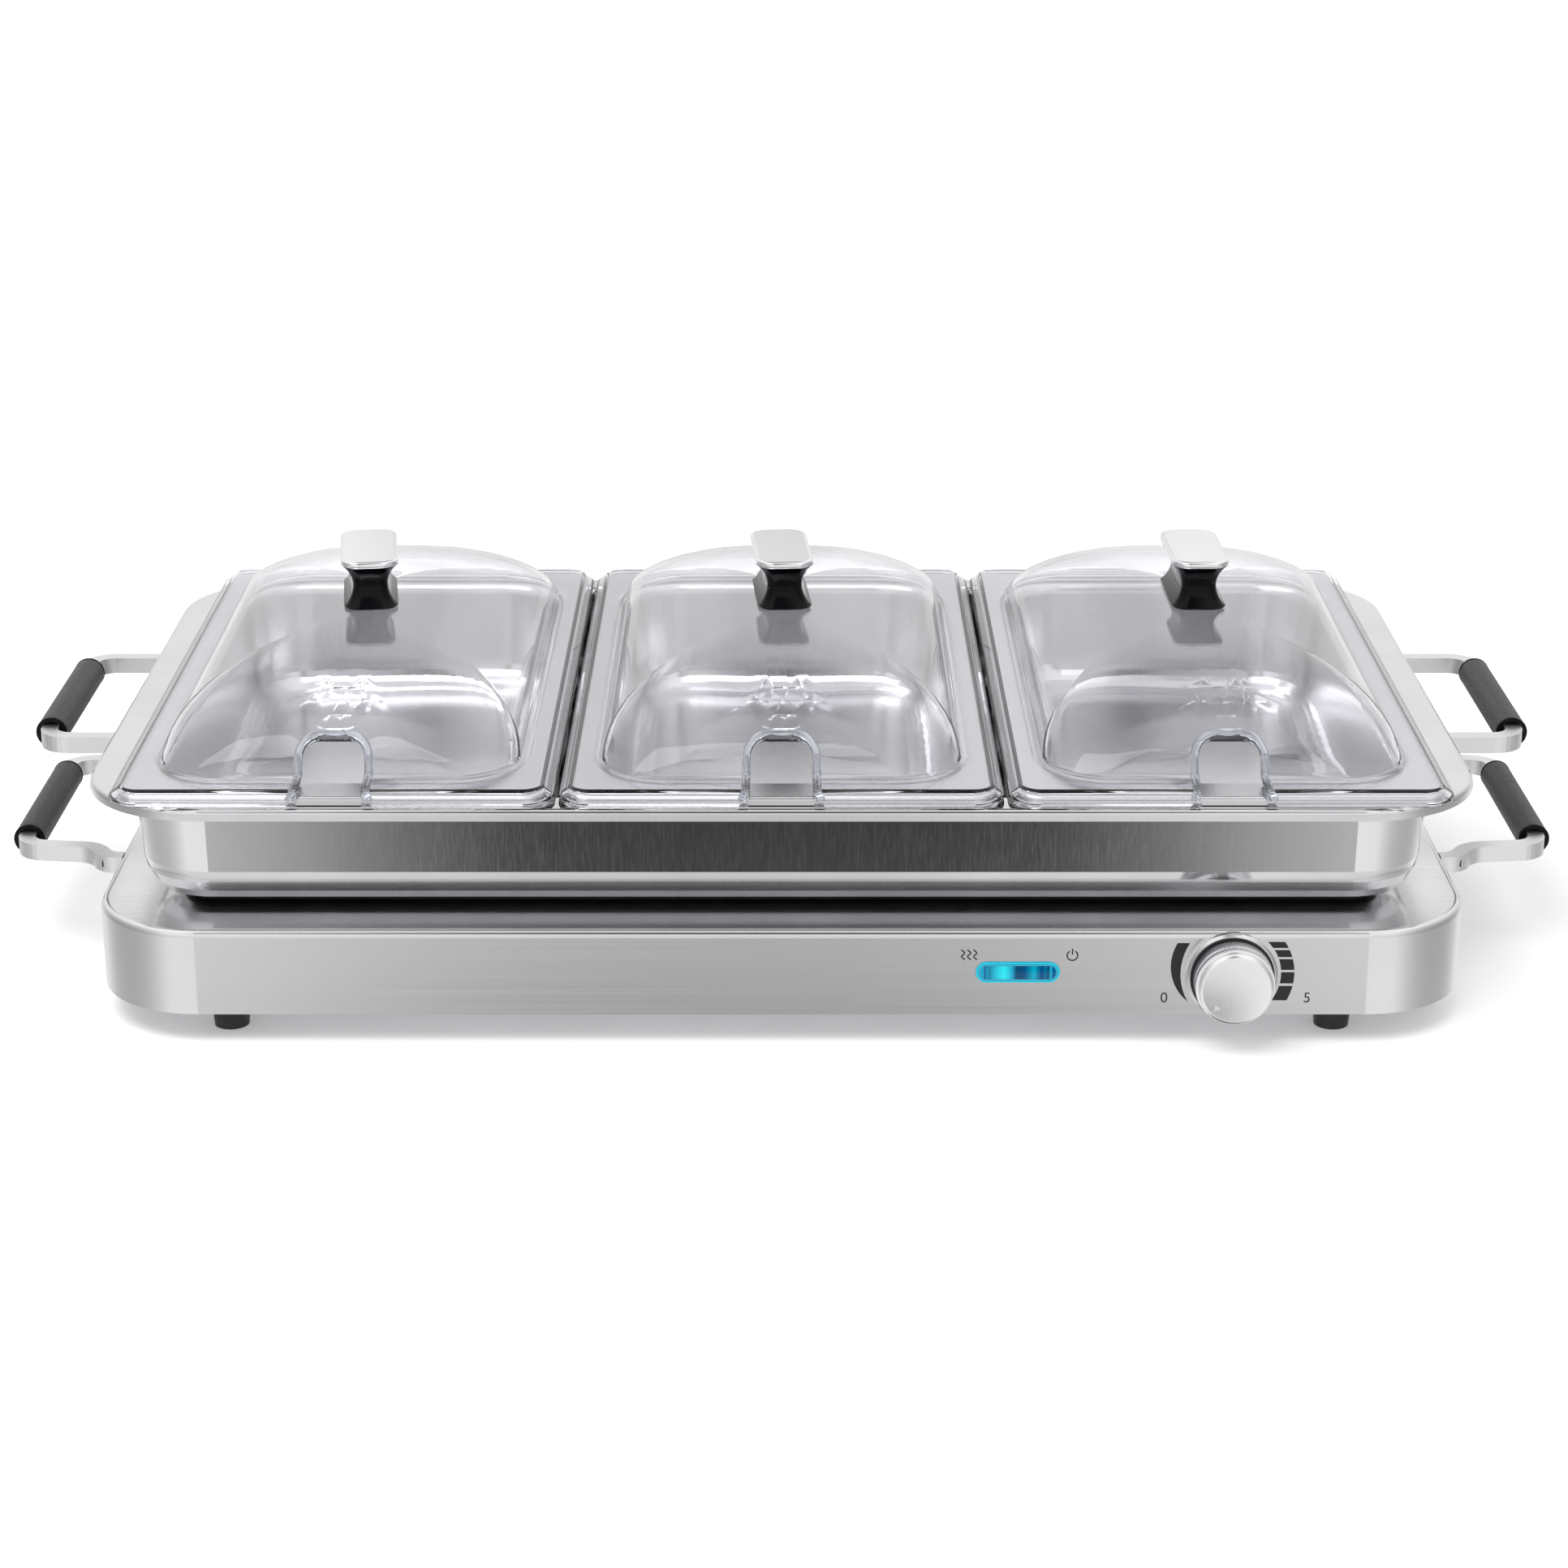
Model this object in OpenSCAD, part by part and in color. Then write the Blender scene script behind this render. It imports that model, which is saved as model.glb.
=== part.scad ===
// Three-pan electric buffet server. A drawn steel warming base with a dial carries a
// lift-off tray frame, which holds three food pans under clear domed lids.
// X runs along the front, Y from front to back and Z up, all in millimetres. The origin
// is on the floor, under the centre of the whole server's box.

/* [Warming base] */
// Length of the base shell, side to side
base_length = 554; // [546:1:562]
// Depth of the base shell, front to back
base_depth = 320; // [316:1:324]
// Corner radius of the base shell in plan
base_corner = 44; // [40:1:48]
// Height of the base's top face above the floor
base_top = 48; // [47.5:0.5:48.5]
// Height of the feet, from the floor to the base shell's lower edge
foot_height = 12.3; // [11:0.1:13]
// Radius of the small bend round the base's top edge
base_edge = 3; // [2:0.5:4]
// Sheet thickness of the base shell
base_sheet = 0.8; // [0.6:0.1:1]

/* [Feet] */
// Diameter of a rubber foot where it meets the cover
foot_diameter = 16; // [14:0.5:18]
// Distance of the feet from the middle, side to side
foot_x = 223; // [215:1:230]
// Distance of the feet from the middle, front to back
foot_y = 140; // [138:1:142]

/* [Tray frame] */
// Length of the frame over its flange
frame_length = 557; // [555:1:559]
// Depth of the frame over its flange
frame_depth = 326; // [324:1:328]
// Corner radius of the flange in plan
frame_corner = 50; // [48:1:52]
// Height of the flange's top face above the floor
frame_top = 100; // [99.5:0.5:100.5]
// Width of the flange, from its outer edge to the pan wall
flange_width = 16.5; // [15.5:0.5:17]
// Height of the edge that the flange turns down
flange_drop = 4.6; // [4:0.2:5]
// Radius of the bend between the pan's wall and its floor
frame_floor_bend = 20; // [16:1:22]
// Lean of the pan's wall, from top to bottom
frame_draft = 4.5; // [3.5:0.5:5]
// Sheet thickness of the frame pan
frame_sheet = 0.8; // [0.6:0.1:1]

/* [Food pans] */
// Distance from one pan's centre to the next
pan_pitch = 177; // [176.6:0.2:177.4]
// Width of a pan's rim, side to side
pan_rim_width = 167.6; // [167:0.1:168]
// Depth of a pan's rim, front to back
pan_rim_depth = 316; // [315:0.5:317]
// Width of a pan's bowl at the top
bowl_width = 145; // [143:1:146]
// Depth of a pan's bowl at the top, front to back
bowl_depth = 273; // [271:1:274]
// Corner radius of the bowl in plan
bowl_corner = 28; // [26:1:30]
// Height of a pan's rim above the floor
pan_top = 103.6; // [103.6:0.1:103.8]
// Depth of the bowl under its rim
bowl_drop = 46; // [44:1:46]
// Sheet thickness of a pan
pan_sheet = 0.8; // [0.6:0.1:0.8]

/* [Lids] */
// Width of a lid over its skirt
lid_width = 175.5; // [175:0.5:176]
// Depth of a lid over its skirt, front to back
lid_depth = 324; // [323:1:325]
// Height of a lid's flat rim above the floor
lid_rim_top = 106.5; // [106.5:0.1:106.8]
// Height of the dome above the flat rim
dome_height = 34; // [30:1:36]
// Width of the dome at its foot
dome_width = 144; // [140:1:146]
// Depth of the dome at its foot, front to back
dome_depth = 285; // [281:1:287]
// Wall thickness of a lid
lid_wall = 2.2; // [1.8:0.1:2.4]
// Width of the spoon notch in a lid's front
notch_width = 26; // [22:1:30]
// Height of the spoon notch's top above the floor
notch_top = 120; // [117:1:122]
// Turn of each lid's knob on its screw, left to right
knob_turns = [7, 4, 1]; // [-15:1:15]

/* [Handles] */
// Side of the square handle bar
bar_side = 7; // [6:0.5:7]
// Diameter of a grip sleeve
grip_diameter = 13.4; // [12.6:0.2:14]
// Length of a grip sleeve
grip_length = 85; // [75:1:88]
// Reach of the frame handles' outer bar from the middle
frame_handle_reach = 309.5; // [306:0.5:312]
// Reach of the base handles' outer bar from the middle
base_handle_reach = 322.5; // [320:0.5:324]

/* [Control panel] */
// Place of the dial along the front
dial_x = 179; // [174:1:184]
// Height of the dial's axis above the floor
dial_z = 29.5; // [29:0.5:30]
// Diameter of the dial over its grip ring
dial_diameter = 32; // [30:1:33]
// Reach of the dial in front of the base shell
dial_reach = 16.7; // [15:0.1:18]
// Place of the lamp window along the front
window_x = 94; // [90:1:98]
// Height of the lamp window's middle above the floor
window_z = 30.6; // [29:0.2:32]

/* [Hidden] */
$fn = 64;

steel = [0.78, 0.78, 0.79];
bright = [0.88, 0.89, 0.9];
black = [0.1, 0.1, 0.11];
clear = [0.85, 0.87, 0.92, 0.45];

// Faces of the base shell, measured from the middle of the shell
half_length = base_length / 2;
front = -base_depth / 2;
back = base_depth / 2;
inner_top = base_top - base_sheet;
cover_sheet = 1;
cover_gap = 0.2;

// The gland stands proud at the back less than the dial does at the front, so the
// whole server sits this much behind the middle of its own box.
gland_proud = 4;
gland_x = 200;
gland_z = 30;
body_y = (dial_reach - gland_proud) / 2;

// Screws: shank radius, and the hole that it passes through
m3 = 1.5;
m3_hole = 1.65;
m4 = 2;
m4_hole = 2.15;
tight = 0.03;

// Under the base top: heater plate, element, its clamps, the wool pad and its tray
plate_sheet = 1.5;
plate_half_x = 232;
plate_half_y = 98;
plate_bottom = inner_top - 0.1 - plate_sheet;
tube_radius = 3.2;
tube_z = plate_bottom - tube_radius;
tube_bend = 16;
tube_bends = 5;
tube_run_length = 360;
tube_cold_end = 50;
clamp_sheet = 0.8;
clamp_width = 8;
shield_sheet = 0.6;
shield_half_x = 236;
shield_half_y = 102;
shield_corner = 20;
shield_bottom = 24;
shield_rim = inner_top - 0.1;
pad_bottom = shield_bottom + shield_sheet;
pad_thickness = 12;

post_radius = 4;
post_places = [
    [-256, -100], [256, -100], [-256, 100], [256, 100],
    [-130, -146], [136, -146], [-130, 146], [136, 146]
];

// Dial, from the front: face, two grip rings and the bezel on the shell
shaft_radius = 3;
shaft_hole = 3.05;
bezel_radius = 18.2;
bezel_thickness = 3;
dial_back = bezel_thickness + 0.3;
neck_radius = 5;
nut_thickness = 2.4;
thermostat_half = 14;
thermostat_depth = 24;

window_length = 33.5;
window_height = 8.8;

// Tray frame
frame_half_x = frame_length / 2;
frame_half_y = frame_depth / 2;
frame_floor = base_top + 0.6;
wall_half_x = frame_half_x - flange_width;

// Food pans: the rim's corners share their centres with the lid's
lid_corner = 12.5;
pan_rim_corner = lid_corner - (lid_width - pan_rim_width) / 2;
pan_rim_bend = 1.5;
pan_rim_drop = 3.3;
pan_brow = 5;
pan_draft = 3;
pan_floor_bend = 12;

// Lids
lid_rim_thickness = 2.5;
skirt_flare = 4;
skirt_drop = 5.3;
knob_foot = lid_rim_top + dome_height;
neck_height = 18.6;
cap_thickness = 2.7;
lid_screw_length = 14;

// Handles: height of each bar's centre line, and the legs' distance from the middle
frame_bar_z = 91.3;
base_bar_z = 43;
leg_y = 55.5;
bar_bend = 10;
bend_steps = 9;
leg_lean = 6;
leg_run = 16;
leg_flare = 60;
flare_bend = 13;
foot_bend = 9;
grip_wall = 1.7;

function arc(cx, cy, r, from, to, steps = 6) =
    [for (i = [0:steps]) let (a = from + (to - from) * i / steps)
        [cx + r * cos(a), cy + r * sin(a)]];

// Points round a rounded rectangle at one height
corner_steps = 6;
function ring_points(half_x, half_y, corner, z) =
    [for (q = [0:3], i = [0:corner_steps])
        let (a = 90 * (q + i / corner_steps), sx = (q == 0 || q == 3) ? 1 : -1, sy = q < 2 ? 1 : -1)
        [sx * (half_x - corner) + corner * cos(a), sy * (half_y - corner) + corner * sin(a), z]];

// Colours a part and puts it in the server's own frame
module made(colour) color(colour) translate([0, body_y, 0]) children();

// Flat rounded rectangle
module rounded_rect(half_x, half_y, corner) {
    square([2 * half_x, 2 * (half_y - corner)], center = true);
    square([2 * (half_x - corner), 2 * half_y], center = true);
    for (x = [-1, 1], y = [-1, 1])
        translate([x * (half_x - corner), y * (half_y - corner)]) circle(corner);
}

// Slot with round ends, along X
module slot(length, width) {
    square([length - width, width], center = true);
    for (x = [-1, 1]) translate([x * (length - width) / 2, 0]) circle(width / 2);
}

// Sweeps a profile round a rounded rectangle. The profile's x is the distance out from
// the corner centres and its y is height.
module around(half_x, half_y, corner) {
    run_x = half_x - corner;
    run_y = half_y - corner;
    for (turn = [0, 180]) rotate(turn) {
        translate([run_x, run_y, 0]) rotate_extrude(angle = 90) children();
        translate([run_x, run_y, 0]) rotate([90, 0, 0]) linear_extrude(2 * run_y) children();
        rotate(90) translate([run_y, run_x, 0]) rotate_extrude(angle = 90) children();
        rotate(90) translate([run_y, run_x, 0]) rotate([90, 0, 0]) linear_extrude(2 * run_x)
            children();
    }
}

// Flat floor inside a sweep made by around()
module floor_plate(half_x, half_y, corner, z, sheet)
    translate([corner - half_x, corner - half_y, z])
        cube([2 * (half_x - corner), 2 * (half_y - corner), sheet]);

// Closed solid through a stack of rings, each [half_x, half_y, corner, z], bottom first
module loft(rings) {
    n = 4 * (corner_steps + 1);
    top = (len(rings) - 1) * n;
    points = [for (r = rings) each ring_points(r[0], r[1], r[2], r[3])];
    sides = [for (k = [0:len(rings) - 2], i = [0:n - 1])
        let (a = k * n + i, b = k * n + (i + 1) % n)
        each [[a, a + n, b + n], [a, b + n, b]]];
    polyhedron(points, concat([[for (i = [0:n - 1]) i]], sides,
        [[for (i = [n - 1:-1:0]) top + i]]));
}

// Screw with its head's top at z = 0, its shank upwards, and a cross in the head
module screw(head_radius, head_height, shank_radius, length) {
    difference() {
        union() {
            cylinder(r = head_radius, h = head_height);
            cylinder(r = shank_radius, h = head_height + length);
        }
        for (turn = [0, 90]) rotate(turn)
            translate([-head_radius * 0.55, -0.4, -1]) cube([head_radius * 1.1, 0.8, 2]);
    }
}

// Follows a list of steps from the origin along +X: ["run", length] goes straight and
// ["left" or "right", radius, angle] bends. The children are the bar's section.
module bar(steps, i = 0) {
    if (i < len(steps)) {
        step = steps[i];
        if (step[0] == "run") {
            rotate([90, 0, 90]) linear_extrude(step[1]) children();
            translate([step[1], 0, 0]) bar(steps, i + 1) children();
        } else {
            side = step[0] == "left" ? 1 : -1;
            mirror([0, side < 0 ? 1 : 0, 0]) translate([0, step[1], 0]) rotate(-90)
                rotate_extrude(angle = step[2]) translate([step[1], 0]) children();
            translate([0, side * step[1], 0]) rotate(side * step[2])
                translate([0, -side * step[1], 0]) bar(steps, i + 1) children();
        }
    }
}

// ---------- Warming base ----------

// The base shell's section: top face, edge bend and wall
module base_section() {
    bend_x = base_corner - base_edge;
    bend_z = base_top - base_edge;
    polygon(concat(
        [[0, inner_top], [0, base_top]],
        arc(bend_x, bend_z, base_edge, 90, 0),
        [[base_corner, foot_height], [base_corner - base_sheet, foot_height]],
        arc(bend_x, bend_z, base_edge - base_sheet, 0, 90)));
}

module base_housing() made(steel) difference() {
    union() {
        around(half_length, -front, base_corner) base_section();
        floor_plate(half_length, -front, base_corner, inner_top, base_sheet);
    }
    translate([dial_x, front + 5, dial_z]) rotate([90, 0, 0]) cylinder(r = neck_radius + 0.1, h = 10);
    translate([window_x, front + 5, window_z]) rotate([90, 0, 0]) linear_extrude(10)
        slot(window_length + 0.2, window_height + 0.2);
    translate([gland_x, back - 5, gland_z]) rotate([-90, 0, 0]) cylinder(r = 6.6, h = 10);
    for (x = [-1, 1], y = [-1, 1]) translate([x * half_length - 5, y * base_foot.y, base_bar_z])
        rotate([0, 90, 0]) cylinder(r = m4_hole, h = 10);
}

module bottom_cover() made(steel) difference() {
    translate([0, 0, foot_height]) linear_extrude(cover_sheet) difference() {
        rounded_rect(half_length - base_sheet - cover_gap, -front - base_sheet - cover_gap,
            base_corner - base_sheet - cover_gap);
        for (x = [-170, 0, 170], i = [-4:4])
            translate([x + i * 12, 0]) rotate(90) slot(60, 4);
    }
    for (p = post_places) translate([p[0], p[1], 0]) cylinder(r = m3_hole, h = 30);
    for (x = [-1, 1], y = [-1, 1]) translate([x * foot_x, y * foot_y, 0])
        cylinder(r = m4_hole, h = 30);
}

// Welded posts that the bottom cover screws to
module cover_posts() made(steel) for (p = post_places)
    translate([p[0], p[1], foot_height + cover_sheet]) difference() {
        cylinder(r = post_radius, h = inner_top - foot_height - cover_sheet);
        translate([0, 0, -1]) cylinder(r = m3 + tight, h = 13);
    }

module cover_screws() made(bright) for (p = post_places)
    translate([p[0], p[1], foot_height - 2]) screw(2.9, 2, m3, 10);

foot_head_z = 2.6;
module foot() difference() {
    cylinder(r1 = foot_diameter / 2 - 1, r2 = foot_diameter / 2, h = foot_height);
    translate([0, 0, -1]) cylinder(r = 4.3, h = foot_head_z + 3.4);
    cylinder(r = m4_hole, h = foot_height + 1);
}

module foot_front_left() made(black) translate([-foot_x, -foot_y, 0]) foot();
module foot_front_right() made(black) translate([foot_x, -foot_y, 0]) foot();
module foot_rear_left() made(black) translate([-foot_x, foot_y, 0]) foot();
module foot_rear_right() made(black) translate([foot_x, foot_y, 0]) foot();

// One screw up through each foot, and its nut on the cover
module foot_fasteners() made(bright) for (x = [-1, 1], y = [-1, 1])
    translate([x * foot_x, y * foot_y, 0]) {
        translate([0, 0, foot_head_z]) screw(3.8, 2.4, m4, 13);
        translate([0, 0, foot_height + cover_sheet]) difference() {
            cylinder(r = 4, h = 3.2, $fn = 6);
            translate([0, 0, -1]) cylinder(r = m4 + tight, h = 6);
        }
    }

module heater_plate() made([0.8, 0.81, 0.83])
    translate([0, 0, plate_bottom]) linear_extrude(plate_sheet)
        rounded_rect(plate_half_x, plate_half_y, shield_corner - 4);

// The element goes to and fro across the plate, and both its cold ends come out at the right
tube_row = 2 * tube_bend;
tube_start_x = tube_run_length / 2 + tube_cold_end;
tube_start_y = -tube_bends / 2 * tube_row;
tube_steps = [
    ["run", tube_cold_end],
    for (i = [0:tube_bends - 1]) each [
        ["run", tube_run_length], [i % 2 == 0 ? "right" : "left", tube_bend, 180]],
    ["run", tube_run_length + tube_cold_end]
];
module heater_tube() made([0.45, 0.45, 0.47])
    translate([tube_start_x, tube_start_y, tube_z]) rotate(180)
        bar(tube_steps) circle(tube_radius);

// Saddle strips across all the runs, pressed up against the heater plate
module heater_clamps() made(steel) for (x = [-120, 0, 120])
    translate([x - clamp_width / 2, 0, plate_bottom]) rotate([90, 0, 90])
        linear_extrude(clamp_width) difference() {
            union() {
                translate([-92, -clamp_sheet]) square([184, clamp_sheet]);
                for (i = [0:tube_bends]) translate([tube_start_y + i * tube_row, -tube_radius])
                    circle(tube_radius + clamp_sheet);
            }
            for (i = [0:tube_bends]) translate([tube_start_y + i * tube_row, -tube_radius])
                circle(tube_radius + tight);
            translate([-100, 0]) square([200, 10]);
        }

module insulation_pad() made([0.93, 0.91, 0.84])
    translate([0, 0, pad_bottom]) linear_extrude(pad_thickness)
        rounded_rect(shield_half_x - 2, shield_half_y - 2, shield_corner - 2);

// Shallow tray that holds the wool pad up under the element
module heat_shield() made(steel) {
    around(shield_half_x, shield_half_y, shield_corner) polygon([
        [0, shield_bottom], [shield_corner, shield_bottom],
        [shield_corner, shield_rim - shield_sheet], [shield_corner + 6, shield_rim - shield_sheet],
        [shield_corner + 6, shield_rim], [shield_corner - shield_sheet, shield_rim],
        [shield_corner - shield_sheet, pad_bottom], [0, pad_bottom]]);
    floor_plate(shield_half_x, shield_half_y, shield_corner, shield_bottom, shield_sheet);
}

// ---------- Controls ----------

// Thermostat: a body behind the panel and a threaded neck through it
thermostat_front = front + base_sheet;
module thermostat_body() made([0.85, 0.83, 0.76]) difference() {
    union() {
        translate([dial_x - thermostat_half, thermostat_front, dial_z - thermostat_half + 1])
            cube([2 * thermostat_half, thermostat_depth, 2 * thermostat_half - 2]);
        translate([dial_x, thermostat_front, dial_z]) rotate([90, 0, 0])
            cylinder(r = neck_radius, h = base_sheet + nut_thickness);
        for (x = [-1, 1]) translate([dial_x + x * 8 - 3, thermostat_front + thermostat_depth, dial_z - 4])
            cube([6, 9, 0.8]);
    }
    translate([dial_x, front + 12.5, dial_z]) rotate([90, 0, 0]) cylinder(r = shaft_hole, h = 30);
}

module thermostat_nut() made(bright) translate([dial_x, front, dial_z]) rotate([90, 0, 0])
    difference() {
        cylinder(r = 8, h = nut_thickness, $fn = 6);
        translate([0, 0, -1]) cylinder(r = neck_radius + tight, h = nut_thickness + 2);
    }

// Ring round the dial, with a V-shaped pointer tab at twelve o'clock
module knob_bezel() made(bright) translate([dial_x, front, dial_z]) rotate([90, 0, 0])
    difference() {
        union() {
            cylinder(r = bezel_radius, h = bezel_thickness - 1);
            translate([0, 0, bezel_thickness - 1])
                cylinder(r1 = bezel_radius, r2 = bezel_radius - 1, h = 1);
            linear_extrude(bezel_thickness - 0.6)
                polygon([[-4.6, bezel_radius - 2], [0, bezel_radius - 5], [4.6, bezel_radius - 2],
                         [2.2, bezel_radius + 0.3], [-2.2, bezel_radius + 0.3]]);
        }
        translate([0, 0, -1]) cylinder(r = 10, h = bezel_thickness + 2);
    }

// Round outline with fine teeth, as a polygon
module knurled(radius, teeth, depth) polygon([for (i = [0:2 * teeth - 1])
    let (r = radius - (i % 2) * depth, a = 180 * i / teeth) [r * cos(a), r * sin(a)]]);

// Flat on the end of the thermostat's shaft, which the dial fits
shaft_flat = 2;
module shaft_end_section(radius) intersection() {
    circle(radius);
    translate([-radius, -radius]) square([2 * radius, radius + shaft_flat]);
}

dial_radius = dial_diameter / 2;
shaft_end = 13.6;
module control_knob() made(bright) translate([dial_x, front, dial_z]) rotate([90, 0, 0])
    difference() {
        union() {
            translate([0, 0, dial_back]) linear_extrude(4.4) knurled(dial_radius, 72, 0.5);
            translate([0, 0, dial_back + 4.4]) cylinder(r = dial_radius - 1.2, h = 1);
            translate([0, 0, dial_back + 5.4]) linear_extrude(1.6) knurled(dial_radius, 72, 0.5);
            translate([0, 0, dial_back + 7])
                cylinder(r = dial_radius - 1, h = dial_reach - dial_back - 8.6);
            translate([0, 0, dial_reach - 1.6])
                cylinder(r1 = dial_radius - 1, r2 = dial_radius - 2.2, h = 1.6);
        }
        translate([0, 0, dial_back - 1]) cylinder(r = neck_radius + 1, h = 2);
        linear_extrude(shaft_end + 0.2) shaft_end_section(shaft_radius + tight);
        translate([0, 0, dial_reach - 0.4]) linear_extrude(1) rotate(135)
            polygon([[-1.5, 9], [1.5, 9], [0, 11.6]]);
    }

// Steel shaft, turning in the thermostat's neck, with a flat where the dial sits
module thermostat_shaft() made(bright) translate([dial_x, front, dial_z]) rotate([90, 0, 0]) {
    translate([0, 0, -12]) cylinder(r = shaft_radius, h = 12 + dial_back + 1);
    translate([0, 0, dial_back + 1]) linear_extrude(shaft_end - dial_back - 1)
        shaft_end_section(shaft_radius);
}

lens_proud = 0.8;
lens_back = 3;
module indicator_lens() made([0.1, 0.75, 0.95]) translate([window_x, front, window_z])
    rotate([90, 0, 0]) {
        translate([0, 0, -base_sheet]) linear_extrude(base_sheet + lens_proud)
            slot(window_length, window_height);
        translate([0, 0, -lens_back]) linear_extrude(lens_back - base_sheet)
            slot(window_length + 3, window_height + 3);
    }

// Open box behind the lens that holds the two lamps
holder_depth = 12;
module lamp_holder() made([0.92, 0.92, 0.9])
    translate([window_x, front + lens_back + holder_depth, window_z]) rotate([90, 0, 0])
        difference() {
            linear_extrude(holder_depth) slot(window_length + 5, window_height + 5);
            translate([0, 0, 1.2]) linear_extrude(holder_depth) slot(window_length + 2, window_height + 2);
            for (x = [-1, 1]) translate([x * lamp_gap, 0, -1]) cylinder(r = lamp_radius + 0.1, h = 5);
        }

lamp_gap = 9;
lamp_radius = 2.4;
module lamp() rotate([90, 0, 0]) {
    cylinder(r = lamp_radius, h = 9);
    translate([0, 0, 9]) sphere(lamp_radius);
}
lamp_y = front + lens_back + holder_depth + 1;
module heat_lamp() made([1, 0.5, 0.2]) translate([window_x - lamp_gap, lamp_y, window_z]) lamp();
module power_lamp() made([0.3, 0.8, 1]) translate([window_x + lamp_gap, lamp_y, window_z]) lamp();

// Bush in the back wall for the supply cord, held by a flange on each side of the sheet
gland_bore = 3.6;
module cord_gland() made(black) translate([gland_x, back, gland_z]) rotate([-90, 0, 0])
    difference() {
        union() {
            cylinder(r = 9, h = gland_proud - 1);
            translate([0, 0, gland_proud - 1]) cylinder(r1 = 9, r2 = 8, h = 1);
            translate([0, 0, -base_sheet]) cylinder(r = 6.5, h = base_sheet);
            translate([0, 0, -base_sheet - 6]) cylinder(r = 8, h = 6);
        }
        translate([0, 0, -20]) cylinder(r = gland_bore, h = 40);
    }

// Ceramic block on the bottom cover, with a screw over each of its three ways
block_x = 166;
block_y = 128;
block_z = foot_height + cover_sheet;
module terminal_block() made([0.94, 0.93, 0.88]) difference() {
    translate([block_x, block_y - 9, block_z]) cube([36, 18, 15]);
    for (i = [0:2]) translate([block_x + 6 + 12 * i, block_y, block_z]) {
        translate([0, -10, 8]) rotate([-90, 0, 0]) cylinder(r = 2.2, h = 20);
        translate([0, 0, 8]) cylinder(r = 2, h = 8);
    }
}

// Thermal cut-out, clamped to the tray's flange beside the element's cold end
fuse_x = 262;
module thermal_fuse() made([0.85, 0.7, 0.4])
    translate([fuse_x, -20, inner_top - 0.2 - 4]) rotate([-90, 0, 0]) {
        cylinder(r = 3.6, h = 16);
        translate([0, 0, -5]) cylinder(r = 1, h = 26);
    }

// Heat-proof leads, each a run of straight eight-sided rods with elbows between them
lead_radius = 1.1;
lead_elbow = 1.3;
module lead(points) for (i = [0:len(points) - 2]) {
    step = points[i + 1] - points[i];
    translate(points[i]) {
        if (i > 0) sphere(lead_elbow, $fn = 8);
        rotate([0, acos(step[2] / norm(step)), atan2(step[1], step[0])])
            cylinder(r = lead_radius, h = norm(step), $fn = 8);
    }
}

lead_z = 19;
block_lead_z = block_z + 8;
module inner_wiring() made([0.85, 0.3, 0.2]) {
    lead([[block_x + 6, block_y - 10, block_lead_z], [block_x + 6, block_y - 14, lead_z],
          [150, 60, lead_z], [150, -118, lead_z], [dial_x - 8, -122, lead_z],
          [dial_x - 8, -125, dial_z - 5.2]]);
    lead([[dial_x + 8, -125, dial_z - 5.2], [dial_x + 8, -119, lead_z], [250, -119, lead_z],
          [268, -100, lead_z], [fuse_x, -34, 34], [fuse_x, -27, inner_top - 4.2]]);
    lead([[block_x + 30, block_y - 10, block_lead_z], [block_x + 30, block_y - 16, lead_z],
          [250, 119, lead_z], [268, 100, lead_z], [266, 70, 30], [fuse_x, 4, inner_top - 4.2]]);
    lead([[window_x - lamp_gap, lamp_y + 1.2, window_z], [window_x - lamp_gap, -136, lead_z],
          [window_x + 40, -124, lead_z], [148, -114, lead_z + 2.4]]);
    lead([[window_x + lamp_gap, lamp_y + 1.2, window_z], [window_x + lamp_gap, -138, lead_z + 3],
          [window_x + 38, -130, lead_z + 5], [dial_x - 18, -118, lead_z + 5]]);
}

// ---------- Side handles ----------

// Where a list of bar steps ends, as [x, y, heading], from a start given the same way
function step_end(at, step) = step[0] == "run"
    ? [at.x + step[1] * cos(at.z), at.y + step[1] * sin(at.z), at.z]
    : let (side = step[0] == "left" ? 1 : -1, from = at.z + 90 * side, to = from + side * step[2])
        [at.x + step[1] * (cos(from) - cos(to)), at.y + step[1] * (sin(from) - sin(to)),
         at.z + side * step[2]];
function path_end(at, steps, i = 0) =
    i == len(steps) ? at : path_end(step_end(at, steps[i]), steps, i + 1);

// Every point that a list of steps passes, with short chords round its bends
function along(at, step) = step[0] == "run"
    ? [step_end(at, step)]
    : [for (k = [1:bend_steps]) step_end(at, [step[0], step[1], step[2] * k / bend_steps])];
function path_points(at, steps, i = 0) = i == len(steps)
    ? []
    : concat(along(at, steps[i]), path_points(step_end(at, steps[i]), steps, i + 1));

// Flat outline of a bar whose middle line goes through points given as [x, y, heading]
module bar_outline(points) {
    half = bar_side / 2;
    polygon(concat(
        [for (p = points) [p.x - half * sin(p.z), p.y + half * cos(p.z)]],
        [for (i = [len(points) - 1:-1:0]) let (p = points[i])
            [p.x + half * sin(p.z), p.y - half * cos(p.z)]]));
}

// Half a base handle: the outer bar, a leaning leg and an S-bend to the shell's wall
base_half_steps = [
    ["run", leg_y - bar_bend], ["left", bar_bend, 90 - leg_lean], ["run", leg_run],
    ["right", flare_bend, leg_flare], ["left", foot_bend, leg_flare + leg_lean]
];
base_foot = path_end([base_handle_reach, 0, 90], base_half_steps);

// Half a frame handle: a straight leg that stops at the pan's wall
frame_leg_end = wall_half_x - 0.4;
frame_half_steps = [
    ["run", leg_y - bar_bend], ["left", bar_bend, 90],
    ["run", frame_handle_reach - bar_bend - frame_leg_end]
];

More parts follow.
